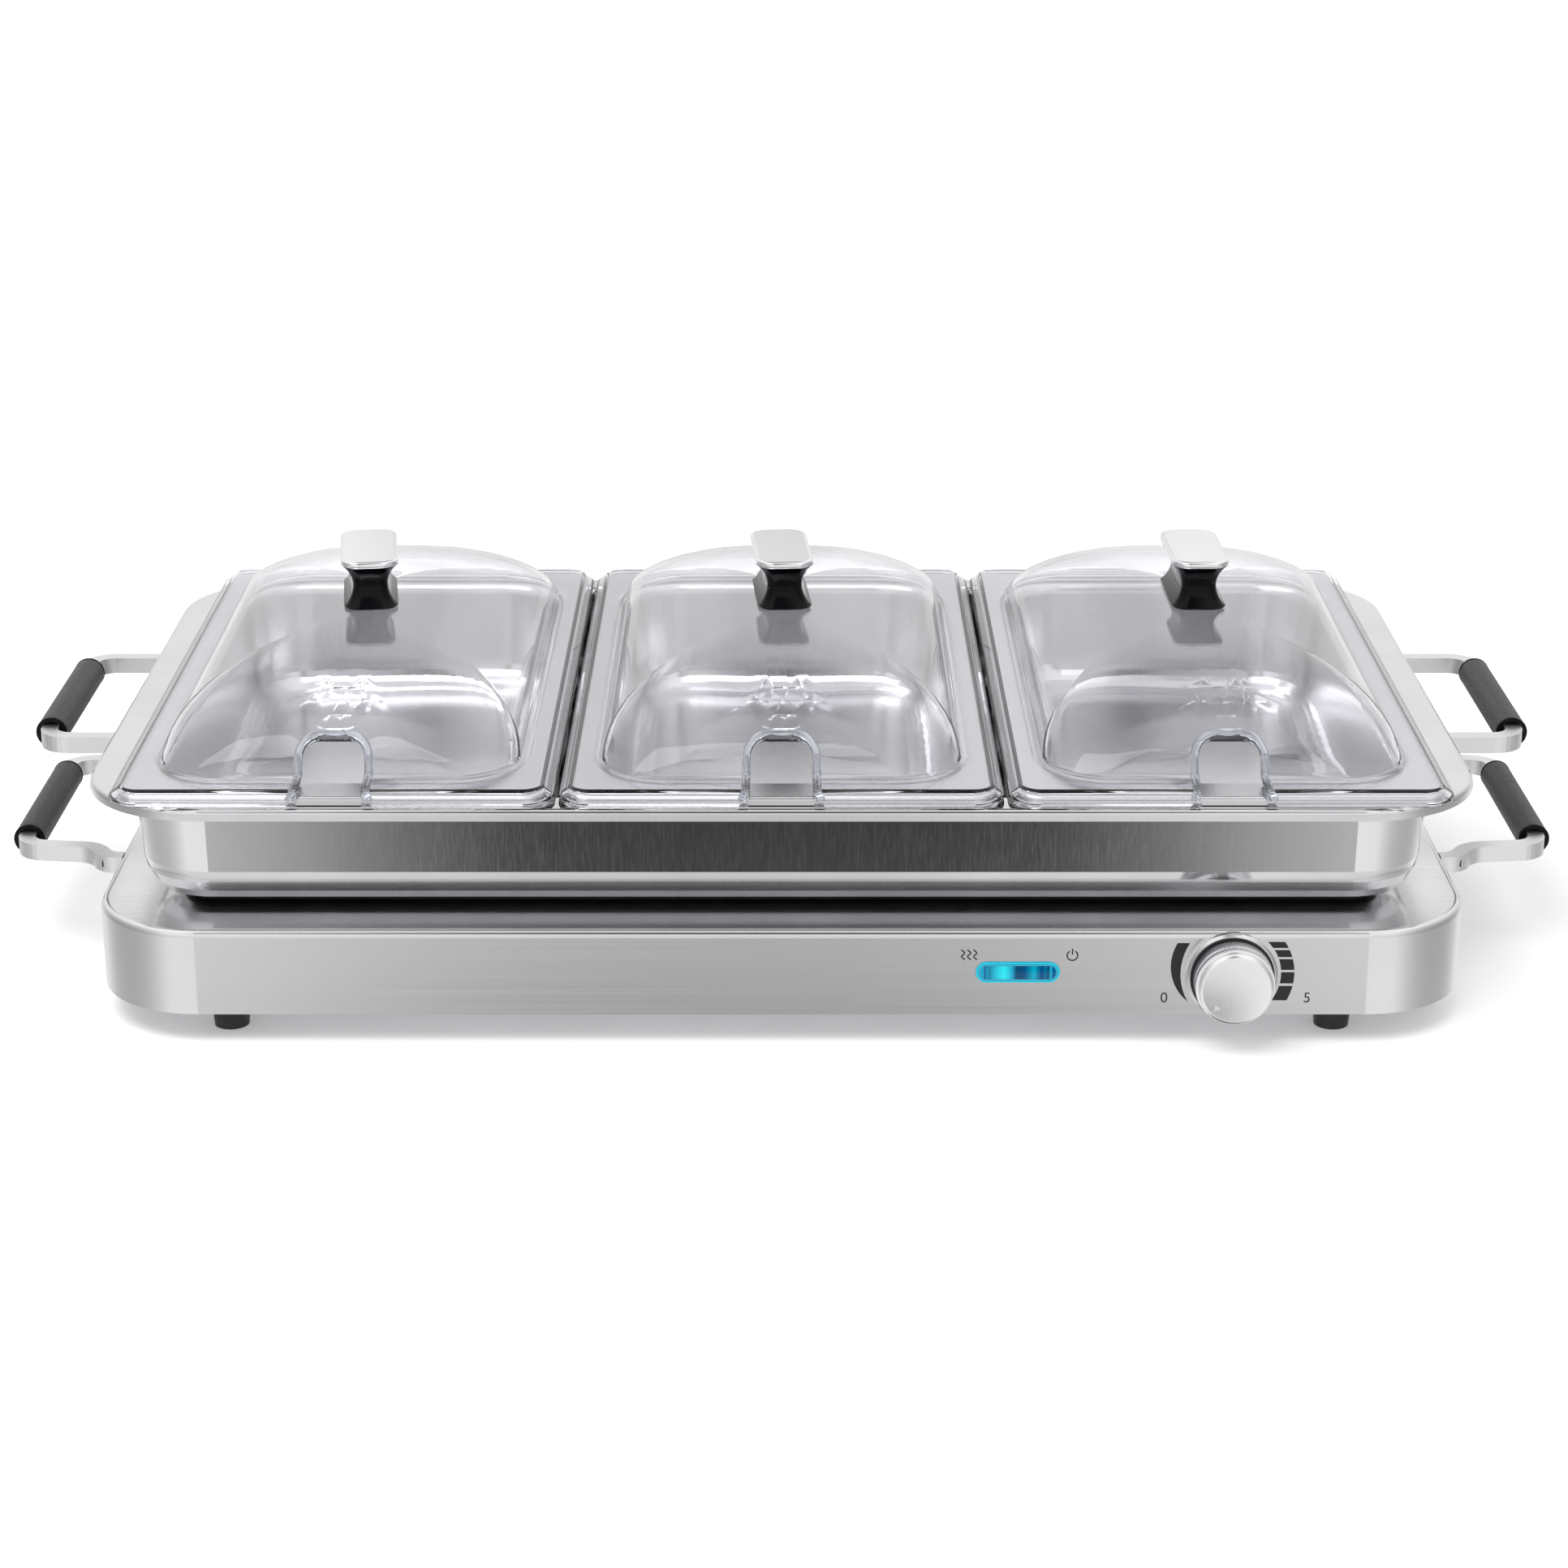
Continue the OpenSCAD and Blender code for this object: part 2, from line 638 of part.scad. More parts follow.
// A right-hand handle from its half steps, drilled in both feet for a screw
module handle(reach, z, steps, foot_x, foot_y) difference() {
    upper = path_points([reach, 0, 90], steps);
    lower = [for (i = [len(upper) - 1:-1:0]) [upper[i].x, -upper[i].y, 180 - upper[i].z]];
    translate([0, 0, z - bar_side / 2]) linear_extrude(bar_side)
        bar_outline(concat(lower, upper));
    for (side = [-1, 1]) translate([foot_x - 1, side * foot_y, z]) rotate([0, 90, 0])
        cylinder(r = m4 + tight, h = handle_screw_length + 1);
}
handle_screw_length = 9;

module base_handle() handle(base_handle_reach, base_bar_z,
    concat(base_half_steps, [["run", base_foot.x - half_length]]), half_length, base_foot.y);
module frame_handle() handle(frame_handle_reach, frame_bar_z, frame_half_steps,
    frame_leg_end, leg_y);

// Grip: a moulded sleeve, slit underneath so that it snaps over the bar
module grip(reach, z) translate([reach, grip_length / 2, z]) rotate([90, 0, 0])
    linear_extrude(grip_length) difference() {
        circle(grip_diameter / 2);
        circle(grip_diameter / 2 - grip_wall);
        translate([-bar_side / 2, -grip_diameter]) square([bar_side, grip_diameter - 3]);
    }

// Screws from inside a wall into both feet of a right-hand handle. A small collar under
// each head keeps it clear of the bend at the top of the wall.
handle_head = 2.4;
handle_collar = 0.5;
handle_collar_radius = 2.35;
module handle_screws(wall_inside, foot_y, z) for (side = [-1, 1])
    translate([wall_inside - handle_head - handle_collar, side * foot_y, z]) rotate([0, 90, 0]) {
        screw(3, handle_head, m4, handle_screw_length + handle_collar);
        translate([0, 0, handle_head - 0.5])
            cylinder(r = handle_collar_radius, h = handle_collar + 0.5);
    }

module base_handle_right() made(bright) base_handle();
module base_handle_left() made(bright) rotate(180) base_handle();
module base_grip_right() made(black) grip(base_handle_reach, base_bar_z);
module base_grip_left() made(black) mirror([1, 0, 0]) grip(base_handle_reach, base_bar_z);
module base_handle_screws() made(bright) for (turn = [0, 180]) rotate(turn)
    handle_screws(half_length - base_sheet, base_foot.y, base_bar_z);

// ---------- Tray frame ----------

// Section of a drawn pan from its floor up to its brow, the bend out to the flange.
// x is measured from the corner centres: top_x is the wall's outside at the top.
function lean_of(lean, drop) = atan(lean / drop);
function wall_at(top_x, top, angle, z) = top_x - (top - z) * tan(angle);

// The frame pan's outline, outside first and then back along the inside
module frame_section() {
    angle = lean_of(frame_draft, frame_top - frame_floor);
    bend_z = frame_floor + frame_floor_bend;
    bend_x = wall_at(frame_corner - flange_width, frame_top, angle, bend_z)
        - frame_floor_bend / cos(angle);
    brow = 3;
    brow_z = frame_top - brow;
    brow_x = wall_at(frame_corner - flange_width, frame_top, angle, brow_z)
        + (brow - frame_sheet) / cos(angle);
    edge = 2.4;
    edge_x = frame_corner - edge;
    edge_z = frame_top - edge;
    polygon(concat(
        [[0, frame_floor]],
        arc(bend_x, bend_z, frame_floor_bend, -90, -angle),
        arc(brow_x, brow_z, brow - frame_sheet, 180 - angle, 90),
        arc(edge_x, edge_z, edge - frame_sheet, 90, 0),
        [[frame_corner - frame_sheet, frame_top - flange_drop],
         [frame_corner, frame_top - flange_drop]],
        arc(edge_x, edge_z, edge, 0, 90),
        arc(brow_x, brow_z, brow, 90, 180 - angle),
        arc(bend_x, bend_z, frame_floor_bend - frame_sheet, -angle, -90),
        [[0, frame_floor + frame_sheet]]));
}

module frame_pan() made(steel) difference() {
    union() {
        around(frame_half_x, frame_half_y, frame_corner) frame_section();
        floor_plate(frame_half_x, frame_half_y, frame_corner, frame_floor, frame_sheet);
    }
    for (x = [-1, 1], y = [-1, 1]) translate([x * wall_half_x - 5, y * leg_y, frame_bar_z])
        rotate([0, 90, 0]) cylinder(r = m4_hole, h = 10);
}

module frame_handle_right() made(bright) frame_handle();
module frame_handle_left() made(bright) rotate(180) frame_handle();
module frame_grip_right() made(black) grip(frame_handle_reach, frame_bar_z);
module frame_grip_left() made(black) mirror([1, 0, 0]) grip(frame_handle_reach, frame_bar_z);
module frame_handle_screws() made(bright) for (turn = [0, 180]) rotate(turn)
    handle_screws(frame_leg_end - 1.6, leg_y, frame_bar_z);

// ---------- Food pans ----------

bowl_half_x = bowl_width / 2;
bowl_half_y = bowl_depth / 2;
pan_floor = pan_top - bowl_drop - pan_sheet;

// The bowl's outline, from its floor up to the brow at the rim
module bowl_section() {
    angle = lean_of(pan_draft, bowl_drop);
    bend_z = pan_floor + pan_floor_bend;
    bend_x = wall_at(bowl_corner, pan_top, angle, bend_z) - pan_floor_bend / cos(angle);
    brow_z = pan_top - pan_brow;
    brow_x = bowl_corner + pan_brow;
    polygon(concat(
        [[0, pan_floor]],
        arc(bend_x, bend_z, pan_floor_bend, -90, -angle),
        arc(brow_x, brow_z, pan_brow - pan_sheet, 180 - angle, 90),
        arc(brow_x, brow_z, pan_brow, 90, 180 - angle),
        arc(bend_x, bend_z, pan_floor_bend - pan_sheet, -angle, -90),
        [[0, pan_floor + pan_sheet]]));
}

// The rim's turned-down lip
module pan_lip_section() {
    bend_x = pan_rim_corner - pan_rim_bend;
    bend_z = pan_top - pan_rim_bend;
    polygon(concat(
        arc(bend_x, bend_z, pan_rim_bend, 90, 0),
        [[pan_rim_corner, pan_top - pan_rim_drop],
         [pan_rim_corner - pan_sheet, pan_top - pan_rim_drop]],
        arc(bend_x, bend_z, pan_rim_bend - pan_sheet, 0, 90)));
}

module food_pan(place) made(steel) translate([place * pan_pitch, 0, 0]) {
    around(bowl_half_x, bowl_half_y, bowl_corner) bowl_section();
    floor_plate(bowl_half_x, bowl_half_y, bowl_corner, pan_floor, pan_sheet);
    translate([0, 0, pan_top - pan_sheet]) linear_extrude(pan_sheet) difference() {
        rounded_rect(pan_rim_width / 2 - pan_rim_bend, pan_rim_depth / 2 - pan_rim_bend,
            pan_rim_corner - pan_rim_bend);
        rounded_rect(bowl_half_x + pan_brow, bowl_half_y + pan_brow, bowl_corner + pan_brow);
    }
    around(pan_rim_width / 2, pan_rim_depth / 2, pan_rim_corner) pan_lip_section();
}

module food_pan_left() food_pan(-1);
module food_pan_center() food_pan(0);
module food_pan_right() food_pan(1);

// ---------- Lids ----------

// The dome narrows as a circle's arc from side to side, and more slowly from front to
// back, and its corners grow rounder towards the top. "inset" gives the inside of the wall.
dome_corner = 26;
dome_round = 42;
dome_angles = [0, 12, 24, 36, 48, 58, 67, 75, 81, 85];
function dome_ring(angle, inset) = [
    (dome_width / 2 - inset) * cos(angle),
    (dome_depth / 2 - inset) * pow(cos(angle), 2 / 3),
    (dome_corner - inset + dome_round * sin(angle)) * cos(angle),
    lid_rim_top + (dome_height - inset) * sin(angle)];

// How far in front of the lid's middle the dome's front is at a height
function dome_front(z) = dome_depth / 2 * pow(1 - pow((z - lid_rim_top) / dome_height, 2), 1 / 3);

// A ring of the rim or skirt, by how far it is inside the skirt's outer edge
function skirt_ring(inside, z) =
    [lid_width / 2 - inside, lid_depth / 2 - inside, lid_corner - inside, z];

skirt_bottom = lid_rim_top - skirt_drop;
skirt_lip = 1.8;
lid_outside = concat(
    [skirt_ring(0, skirt_bottom), skirt_ring(0, skirt_bottom + 1),
     skirt_ring(skirt_flare, lid_rim_top - 0.4), skirt_ring(skirt_flare + 0.6, lid_rim_top)],
    [for (a = dome_angles) dome_ring(a, 0)]);
lid_inside = concat(
    [skirt_ring(skirt_lip, skirt_bottom - 1), skirt_ring(skirt_lip, skirt_bottom + 0.7),
     skirt_ring(skirt_flare - 0.25, lid_rim_top - lid_rim_thickness)],
    [for (a = dome_angles) let (r = dome_ring(a, lid_wall))
        [r[0], r[1], r[2], a == 0 ? lid_rim_top - lid_rim_thickness : r[3]]]);

// Arch-shaped outline of the spoon notch, grown outwards by "grow"
notch_corner = 6.5;
function notch_path(grow) = let (half = notch_width / 2 + grow, r = notch_corner + grow)
    concat([[half, lid_rim_top + 0.6]], arc(half - r, notch_top - notch_corner, r, 0, 90, 4));

module notch_cut() translate([0, -dome_depth / 2 + 18, 0]) rotate([90, 0, 0]) linear_extrude(60) {
    translate([-notch_width / 2, lid_rim_top - 20])
        square([notch_width, notch_top - notch_corner - lid_rim_top + 20]);
    translate([notch_corner - notch_width / 2, notch_top - 2 * notch_corner])
        square([notch_width - 2 * notch_corner, 2 * notch_corner]);
    for (x = [-1, 1]) translate([x * (notch_width / 2 - notch_corner), notch_top - notch_corner])
        circle(notch_corner);
}

// Thick bead round the notch: over the dome's front, across the rim and down the skirt
bead_radius = 1.8;
bead_half = [
    for (p = notch_path(bead_radius)) [p[0], -dome_front(p[1]) + 0.4, p[1]]
];
bead_foot = [
    [notch_width / 2 + bead_radius, -lid_depth / 2 + bead_radius, lid_rim_top - skirt_drop + 2],
    [notch_width / 2 + bead_radius, -lid_depth / 2 + skirt_flare + 0.6, lid_rim_top - 0.4]
];
module bead_side() {
    last = bead_half[len(bead_half) - 1];
    points = concat(bead_foot, bead_half, [[0, last.y, last.z]]);
    for (i = [0:len(points) - 2]) hull() {
        translate(points[i]) sphere(bead_radius, $fn = 10);
        translate(points[i + 1]) sphere(bead_radius, $fn = 10);
    }
}

module lid(place) made(clear) translate([place * pan_pitch, 0, 0]) difference() {
    union() {
        difference() {
            loft(lid_outside);
            loft(lid_inside);
        }
        for (side = [0, 1]) mirror([side, 0, 0]) bead_side();
    }
    notch_cut();
    translate([0, 0, lid_rim_top]) cylinder(r = m4_hole, h = dome_height + 5, $fn = 24);
}

module lid_left() lid(-1);
module lid_center() lid(0);
module lid_right() lid(1);

// Puts a knob's part over its lid, turned on the lid's screw
module at_lid_knob(place) translate([place * pan_pitch, 0, 0]) rotate(knob_turns[place + 1])
    children();

// Waisted knob, longer from front to back than it is wide
module lid_knob(place) made(black) at_lid_knob(place) difference() {
    loft([
        [11.5, 26, 11.2, knob_foot], [11.5, 26, 11.2, knob_foot + 1], [9.6, 24.2, 9.3, knob_foot + 3.5],
        [8, 22.6, 7.7, knob_foot + 7], [7.5, 22, 7.2, knob_foot + 10], [8, 22.6, 7.7, knob_foot + 13],
        [9.6, 24.4, 8.8, knob_foot + 16.4], [11.3, 26.4, 8, knob_foot + neck_height]]);
    translate([0, 0, knob_foot - 1]) cylinder(r = m4 + tight, h = 13);
}
module lid_knob_left() lid_knob(-1);
module lid_knob_center() lid_knob(0);
module lid_knob_right() lid_knob(1);

// Bright cap on top of the knob
cap_foot = knob_foot + neck_height;
module lid_cap(place) made([0.93, 0.93, 0.95]) at_lid_knob(place) loft([
    [11.6, 26.9, 7.2, cap_foot], [12.2, 27.5, 7.8, cap_foot + 0.5],
    [12.2, 27.5, 7.8, cap_foot + cap_thickness - 1.1], [11.8, 27.1, 7.4, cap_foot + cap_thickness - 0.4],
    [11, 26.3, 6.6, cap_foot + cap_thickness]]);
module lid_cap_left() lid_cap(-1);
module lid_cap_center() lid_cap(0);
module lid_cap_right() lid_cap(1);

// Screw from inside the dome up into the knob
module lid_screw(place) made(bright) at_lid_knob(place)
    translate([0, 0, lid_rim_top + dome_height - lid_wall - 2.8])
        screw(4.2, 2.4, m4, lid_screw_length);
module lid_screw_left() lid_screw(-1);
module lid_screw_center() lid_screw(0);
module lid_screw_right() lid_screw(1);

base_housing();
bottom_cover();
cover_posts();
cover_screws();
foot_front_left();
foot_front_right();
foot_rear_left();
foot_rear_right();
foot_fasteners();
heater_plate();
heater_tube();
heater_clamps();
insulation_pad();
heat_shield();
thermostat_body();
thermostat_nut();
thermal_fuse();
terminal_block();
inner_wiring();
knob_bezel();
indicator_lens();
lamp_holder();
heat_lamp();
power_lamp();
cord_gland();
base_handle_left();
base_handle_right();
base_grip_left();
base_grip_right();
base_handle_screws();
control_knob();
thermostat_shaft();
frame_pan();
frame_handle_left();
frame_handle_right();
frame_grip_left();
frame_grip_right();
frame_handle_screws();
food_pan_left();
food_pan_center();
food_pan_right();
lid_left();
lid_center();
lid_right();
lid_knob_left();
lid_knob_center();
lid_knob_right();
lid_cap_left();
lid_cap_center();
lid_cap_right();
lid_screw_left();
lid_screw_center();
lid_screw_right();
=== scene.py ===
# %% [markdown]
# # A three-pan buffet server
#
# A countertop warmer: a drawn steel base with a dial, a lift-off tray frame with carry
# handles, three food pans, and a clear domed lid with a black and chrome knob on each.
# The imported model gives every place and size. This script gives the pieces their final
# shapes and finishes, one step at a time.

# %% Load the frame
import math
from collections import namedtuple

import bmesh
import bpy
from mathutils import Matrix, Vector


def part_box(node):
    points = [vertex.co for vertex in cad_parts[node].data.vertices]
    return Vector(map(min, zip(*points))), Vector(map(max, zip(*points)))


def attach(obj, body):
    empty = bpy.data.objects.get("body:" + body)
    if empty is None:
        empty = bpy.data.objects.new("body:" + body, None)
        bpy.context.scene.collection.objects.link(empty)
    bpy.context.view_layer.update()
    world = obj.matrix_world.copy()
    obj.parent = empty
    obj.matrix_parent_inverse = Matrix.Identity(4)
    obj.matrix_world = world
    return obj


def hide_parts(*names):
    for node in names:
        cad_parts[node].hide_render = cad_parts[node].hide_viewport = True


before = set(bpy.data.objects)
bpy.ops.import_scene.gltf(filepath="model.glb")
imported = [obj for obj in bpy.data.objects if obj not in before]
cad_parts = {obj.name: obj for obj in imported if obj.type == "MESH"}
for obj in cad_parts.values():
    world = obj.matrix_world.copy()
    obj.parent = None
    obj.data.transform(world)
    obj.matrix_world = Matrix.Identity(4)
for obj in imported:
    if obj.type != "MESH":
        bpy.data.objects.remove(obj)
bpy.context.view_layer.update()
scene = bpy.context.scene
MM = 0.001

# %% [markdown]
# ## Camera
#
# A long lens, a little above the server, looks straight at its front. A long lens keeps
# the three pans nearly the same size, as a catalogue view does, and its pitch shows both
# the insides of the pans and the control panel. No shift or focus blur is needed.

# %% Place the camera
CAMERA_PITCH = 19.5
CAMERA_PLACE = (1, -1413.65, 556.1)
LENS_LENGTH = 78.7
SENSOR_WIDTH = 36
camera = bpy.data.objects.new("camera", bpy.data.cameras.new("camera"))
camera.data.lens = LENS_LENGTH
camera.data.sensor_width = SENSOR_WIDTH
camera.location = Vector(CAMERA_PLACE) * MM
camera.rotation_euler = (math.radians(90 - CAMERA_PITCH), 0, 0)
scene.collection.objects.link(camera)
scene.camera = camera
print("camera", tuple(camera.location))

# %% [markdown]
# ## Studio
#
# Steel and clear plastic have hardly any colour of their own: they show the room. So the
# room is a soft white studio whose brightness changes with height, in broad bands. A
# dark card low in front of the server gives its walls a dark reflection, which fades
# to either side. A second dark band higher up darkens the rolled edges and the frame's
# lower bend. Soft panels vary the light a little from left to right, and it falls off far
# to the sides. The floor is a pale matt sheet. Mirrors don't see it or the softbox, so
# that the bands alone shape the steel.

# %% Light the studio
def sky_stop(degrees):
    """Where a height above the horizon lies on a ramp from straight down to straight up."""
    return (math.sin(math.radians(degrees)) + 1) / 2


FRONT_BANDS = [
    (-90, 0.02), (-72, 0.04), (-66, 0.30), (-60, 0.80), (-42, 0.86), (-36, 0.60),
    (-33, 0.09), (-27, 0.03), (-24, 0.28), (-21, 0.80), (-10, 0.85), (0, 0.80),
    (10, 0.85), (22, 0.95), (31, 0.90), (37, 0.08), (64, 0.08), (72, 1.15), (90, 1.15),
]
SIDE_BANDS = [(-90, 0.02), (-72, 0.04), (-60, 0.80), (-42, 0.86), (-33, 1.00), (-27, 1.05),
              (-21, 0.85), (0, 0.80), (22, 0.95), (40, 1.00), (90, 1.15)]
PANELS = [(-1.0, 0.45), (-0.85, 0.6), (-0.6, 1.0), (-0.24, 1.02), (-0.15, 1.05), (-0.07, 0.90),
          (0.02, 0.86), (0.06, 1.0), (0.12, 1.05), (0.24, 1.02), (0.6, 1.0), (0.85, 0.6),
          (1.0, 0.45)]
CARD_FADE = (0.065, 0.26)
FLOOR_HALF = 14
SOFTBOX_PLACE = Vector((-0.5, -0.6, 1.5))

world = bpy.data.worlds.new("studio")
world.use_nodes = True
scene.world = world
nodes, links = world.node_tree.nodes, world.node_tree.links


def spread(value, low, high, how="LINEAR"):
    """Brings low to high onto 0 to 1."""
    node = nodes.new("ShaderNodeMapRange")
    node.interpolation_type = how
    node.inputs["From Min"].default_value = low
    node.inputs["From Max"].default_value = high
    links.new(value, node.inputs["Value"])
    return node.outputs[0]


def ramp(tree, value, stops):
    """A ramp of colours along a value, from (position, colour) stops."""
    node = tree.nodes.new("ShaderNodeValToRGB")
    while len(node.color_ramp.elements) < len(stops):
        node.color_ramp.elements.new(0.5)
    for stop, (position, colour) in zip(node.color_ramp.elements, stops):
        stop.position = position
        stop.color = (*colour, 1)
    tree.links.new(value, node.inputs[0])
    return node.outputs[0]


def light_ramp(value, stops):
    """A ramp of grey lights along a value."""
    return ramp(world.node_tree, value, [(at, (light,) * 3) for at, light in stops])


def blended(share, first, second, how="MIX"):
    """Blends two lights."""
    node = nodes.new("ShaderNodeMix")
    node.data_type = "RGBA"
    node.blend_type = how
    node.clamp_result = False
    if share is None:
        node.inputs["Factor"].default_value = 1
    else:
        links.new(share, node.inputs["Factor"])
    links.new(first, node.inputs[6])
    links.new(second, node.inputs[7])
    return node.outputs[2]


parts = nodes.new("ShaderNodeSeparateXYZ")
links.new(nodes.new("ShaderNodeTexCoord").outputs["Generated"], parts.inputs[0])
height = spread(parts.outputs["Z"], -1, 1)
aside = nodes.new("ShaderNodeMath")
aside.operation = "ABSOLUTE"
links.new(parts.outputs["X"], aside.inputs[0])
front_light = light_ramp(height, [(sky_stop(d), light) for d, light in FRONT_BANDS])
side_light = light_ramp(height, [(sky_stop(d), light) for d, light in SIDE_BANDS])
bands = blended(spread(aside.outputs[0], *CARD_FADE, "SMOOTHSTEP"), front_light, side_light)
across = spread(parts.outputs["X"], -1, 1)
panels = light_ramp(across, [((x + 1) / 2, light) for x, light in PANELS])
studio = blended(None, bands, panels, "MULTIPLY")
links.new(studio, nodes["Background"].inputs["Color"])

floor_mesh = bpy.data.meshes.new("floor")
bm = bmesh.new()
bmesh.ops.create_grid(bm, x_segments=1, y_segments=1, size=FLOOR_HALF)
bm.to_mesh(floor_mesh)
bm.free()
floor = bpy.data.objects.new("floor", floor_mesh)
floor.visible_glossy = False
scene.collection.objects.link(floor)

paper = bpy.data.materials.new("pale_paper")
paper.use_nodes = True
shader = paper.node_tree.nodes["Principled BSDF"]
shader.inputs["Base Color"].default_value = (0.96, 0.96, 0.96, 1)
shader.inputs["Roughness"].default_value = 1
shader.inputs["Specular IOR Level"].default_value = 0
shader.inputs["Emission Color"].default_value = (1, 1, 1, 1)
shader.inputs["Emission Strength"].default_value = 0.2
floor_mesh.materials.append(paper)

softbox = bpy.data.lights.new("softbox", "AREA")
softbox.shape = "RECTANGLE"
softbox.size, softbox.size_y = 1.6, 0.9
softbox.energy = 14
lamp = bpy.data.objects.new("softbox", softbox)
lamp.location = SOFTBOX_PLACE
lamp.visible_glossy = False
lamp.rotation_euler = SOFTBOX_PLACE.to_track_quat("Z", "Y").to_euler()
scene.collection.objects.link(lamp)
scene.view_settings.view_transform = "Standard"
print("studio bands", len(FRONT_BANDS))

# %% [markdown]
# ## Finishes: a small tool for materials
#
# Every finish here is a Principled shader with a pattern of noise on top: stretched noise
# is brushing, fine round noise is moulded grain, and slow noise is uneven wear. One
# function lays the pattern on the Object coordinates, so it stays on the piece and
# is at real scale, and feeds it to the roughness, the colour and a small bump.

# %% Define the finish maker
Pattern = namedtuple("Pattern", "scale detail")


def linked_noise(tree, pattern, source):
    """Noise on a stretched copy of the source coordinates."""
    stretch = tree.nodes.new("ShaderNodeMapping")
    stretch.inputs["Scale"].default_value = pattern.scale
    noise = tree.nodes.new("ShaderNodeTexNoise")
    noise.inputs["Scale"].default_value = 1
    noise.inputs["Detail"].default_value = pattern.detail
    tree.links.new(source, stretch.inputs["Vector"])
    tree.links.new(stretch.outputs[0], noise.inputs["Vector"])
    return noise.outputs["Fac"]


def ranged(tree, value, low, high):
    """Spreads the middle of a noise value over low to high."""
    spread = tree.nodes.new("ShaderNodeMapRange")
    spread.inputs["From Min"].default_value = 0.3
    spread.inputs["From Max"].default_value = 0.7
    spread.inputs["To Min"].default_value = low
    spread.inputs["To Max"].default_value = high
    tree.links.new(value, spread.inputs["Value"])
    return spread.outputs[0]


def mixed(tree, share, first, second):
    """Mixes two values by a share."""
    mix = tree.nodes.new("ShaderNodeMix")
    tree.links.new(share, mix.inputs["Factor"])
    tree.links.new(first, mix.inputs["A"])
    tree.links.new(second, mix.inputs["B"])
    return mix.outputs["Result"]


def sideways(tree):
    """1 on faces that look left or right, 0 on the others."""
    geometry = tree.nodes.new("ShaderNodeNewGeometry")
    split = tree.nodes.new("ShaderNodeSeparateXYZ")
    size = tree.nodes.new("ShaderNodeMath")
    size.operation = "ABSOLUTE"
    step = tree.nodes.new("ShaderNodeMapRange")
    step.inputs["From Min"].default_value = 0.55
    step.inputs["From Max"].default_value = 0.8
    tree.links.new(geometry.outputs["Normal"], split.inputs[0])
    tree.links.new(split.outputs["X"], size.inputs[0])
    tree.links.new(size.outputs[0], step.inputs["Value"])
    return step.outputs[0]


def finish(name, colour, rough, metal=0.0, pattern=None, turned=None, bump=0.0, shades=0.0,
           slow=(9, 9, 9), **sockets):
    """Makes a Principled finish. rough is one value, or a low and a high that the pattern
    moves between. turned is the pattern on faces that look sideways."""
    material = bpy.data.materials.new(name)
    material.use_nodes = True
    tree = material.node_tree
    shader = tree.nodes["Principled BSDF"]
    shader.inputs["Base Color"].default_value = (*colour, 1)
    shader.inputs["Metallic"].default_value = metal
    for socket, value in sockets.items():
        shader.inputs[socket.replace("_", " ")].default_value = value
    low, high = rough if isinstance(rough, tuple) else (rough, rough)
    shader.inputs["Roughness"].default_value = low
    place = tree.nodes.new("ShaderNodeTexCoord").outputs["Object"]
    if pattern:
        marks = linked_noise(tree, pattern, place)
        if turned:
            marks = mixed(tree, sideways(tree), marks, linked_noise(tree, turned, place))
        tree.links.new(ranged(tree, marks, low, high), shader.inputs["Roughness"])
        if bump:
            relief = tree.nodes.new("ShaderNodeBump")
            relief.inputs["Strength"].default_value = 1
            relief.inputs["Distance"].default_value = bump * MM
            tree.links.new(marks, relief.inputs["Height"])
            tree.links.new(relief.outputs[0], shader.inputs["Normal"])
    if shades:
        drift = linked_noise(tree, Pattern(slow, 2), place)
        tones = tree.nodes.new("ShaderNodeMix")
        tones.data_type = "RGBA"
        tones.inputs[6].default_value = (*[c * (1 - shades) for c in colour], 1)
        tones.inputs[7].default_value = (*[min(1, c * (1 + shades)) for c in colour], 1)
        tree.links.new(ranged(tree, drift, 0, 1), tones.inputs["Factor"])
        tree.links.new(tones.outputs[2], shader.inputs["Base Color"])
    return material


print("finish maker ready")

# %% [markdown]
# ## The finishes
#
# The base and the flange of the frame are brushed steel: fine lines along the length,
# turning to run front to back on the ends. The pans are drawn and polished, so their
# lines are softer. The bars are satin steel, the knobs glossy black plastic under
# chrome caps, the grips grained plastic, and the parts inside are plain. The bead is the
# lid's own clear plastic, but it is thick enough to look a little grey.

# %% Make the finishes
ALONG_X = Pattern((4, 2200, 2200), 3)
ALONG_Y = Pattern((2200, 4, 2200), 3)
UPRIGHT = Pattern((1500, 1500, 7), 3)
GRAIN = Pattern((900, 900, 900), 4)
COARSE = Pattern((260, 260, 260), 5)
HAZE = Pattern((40, 40, 40), 2)

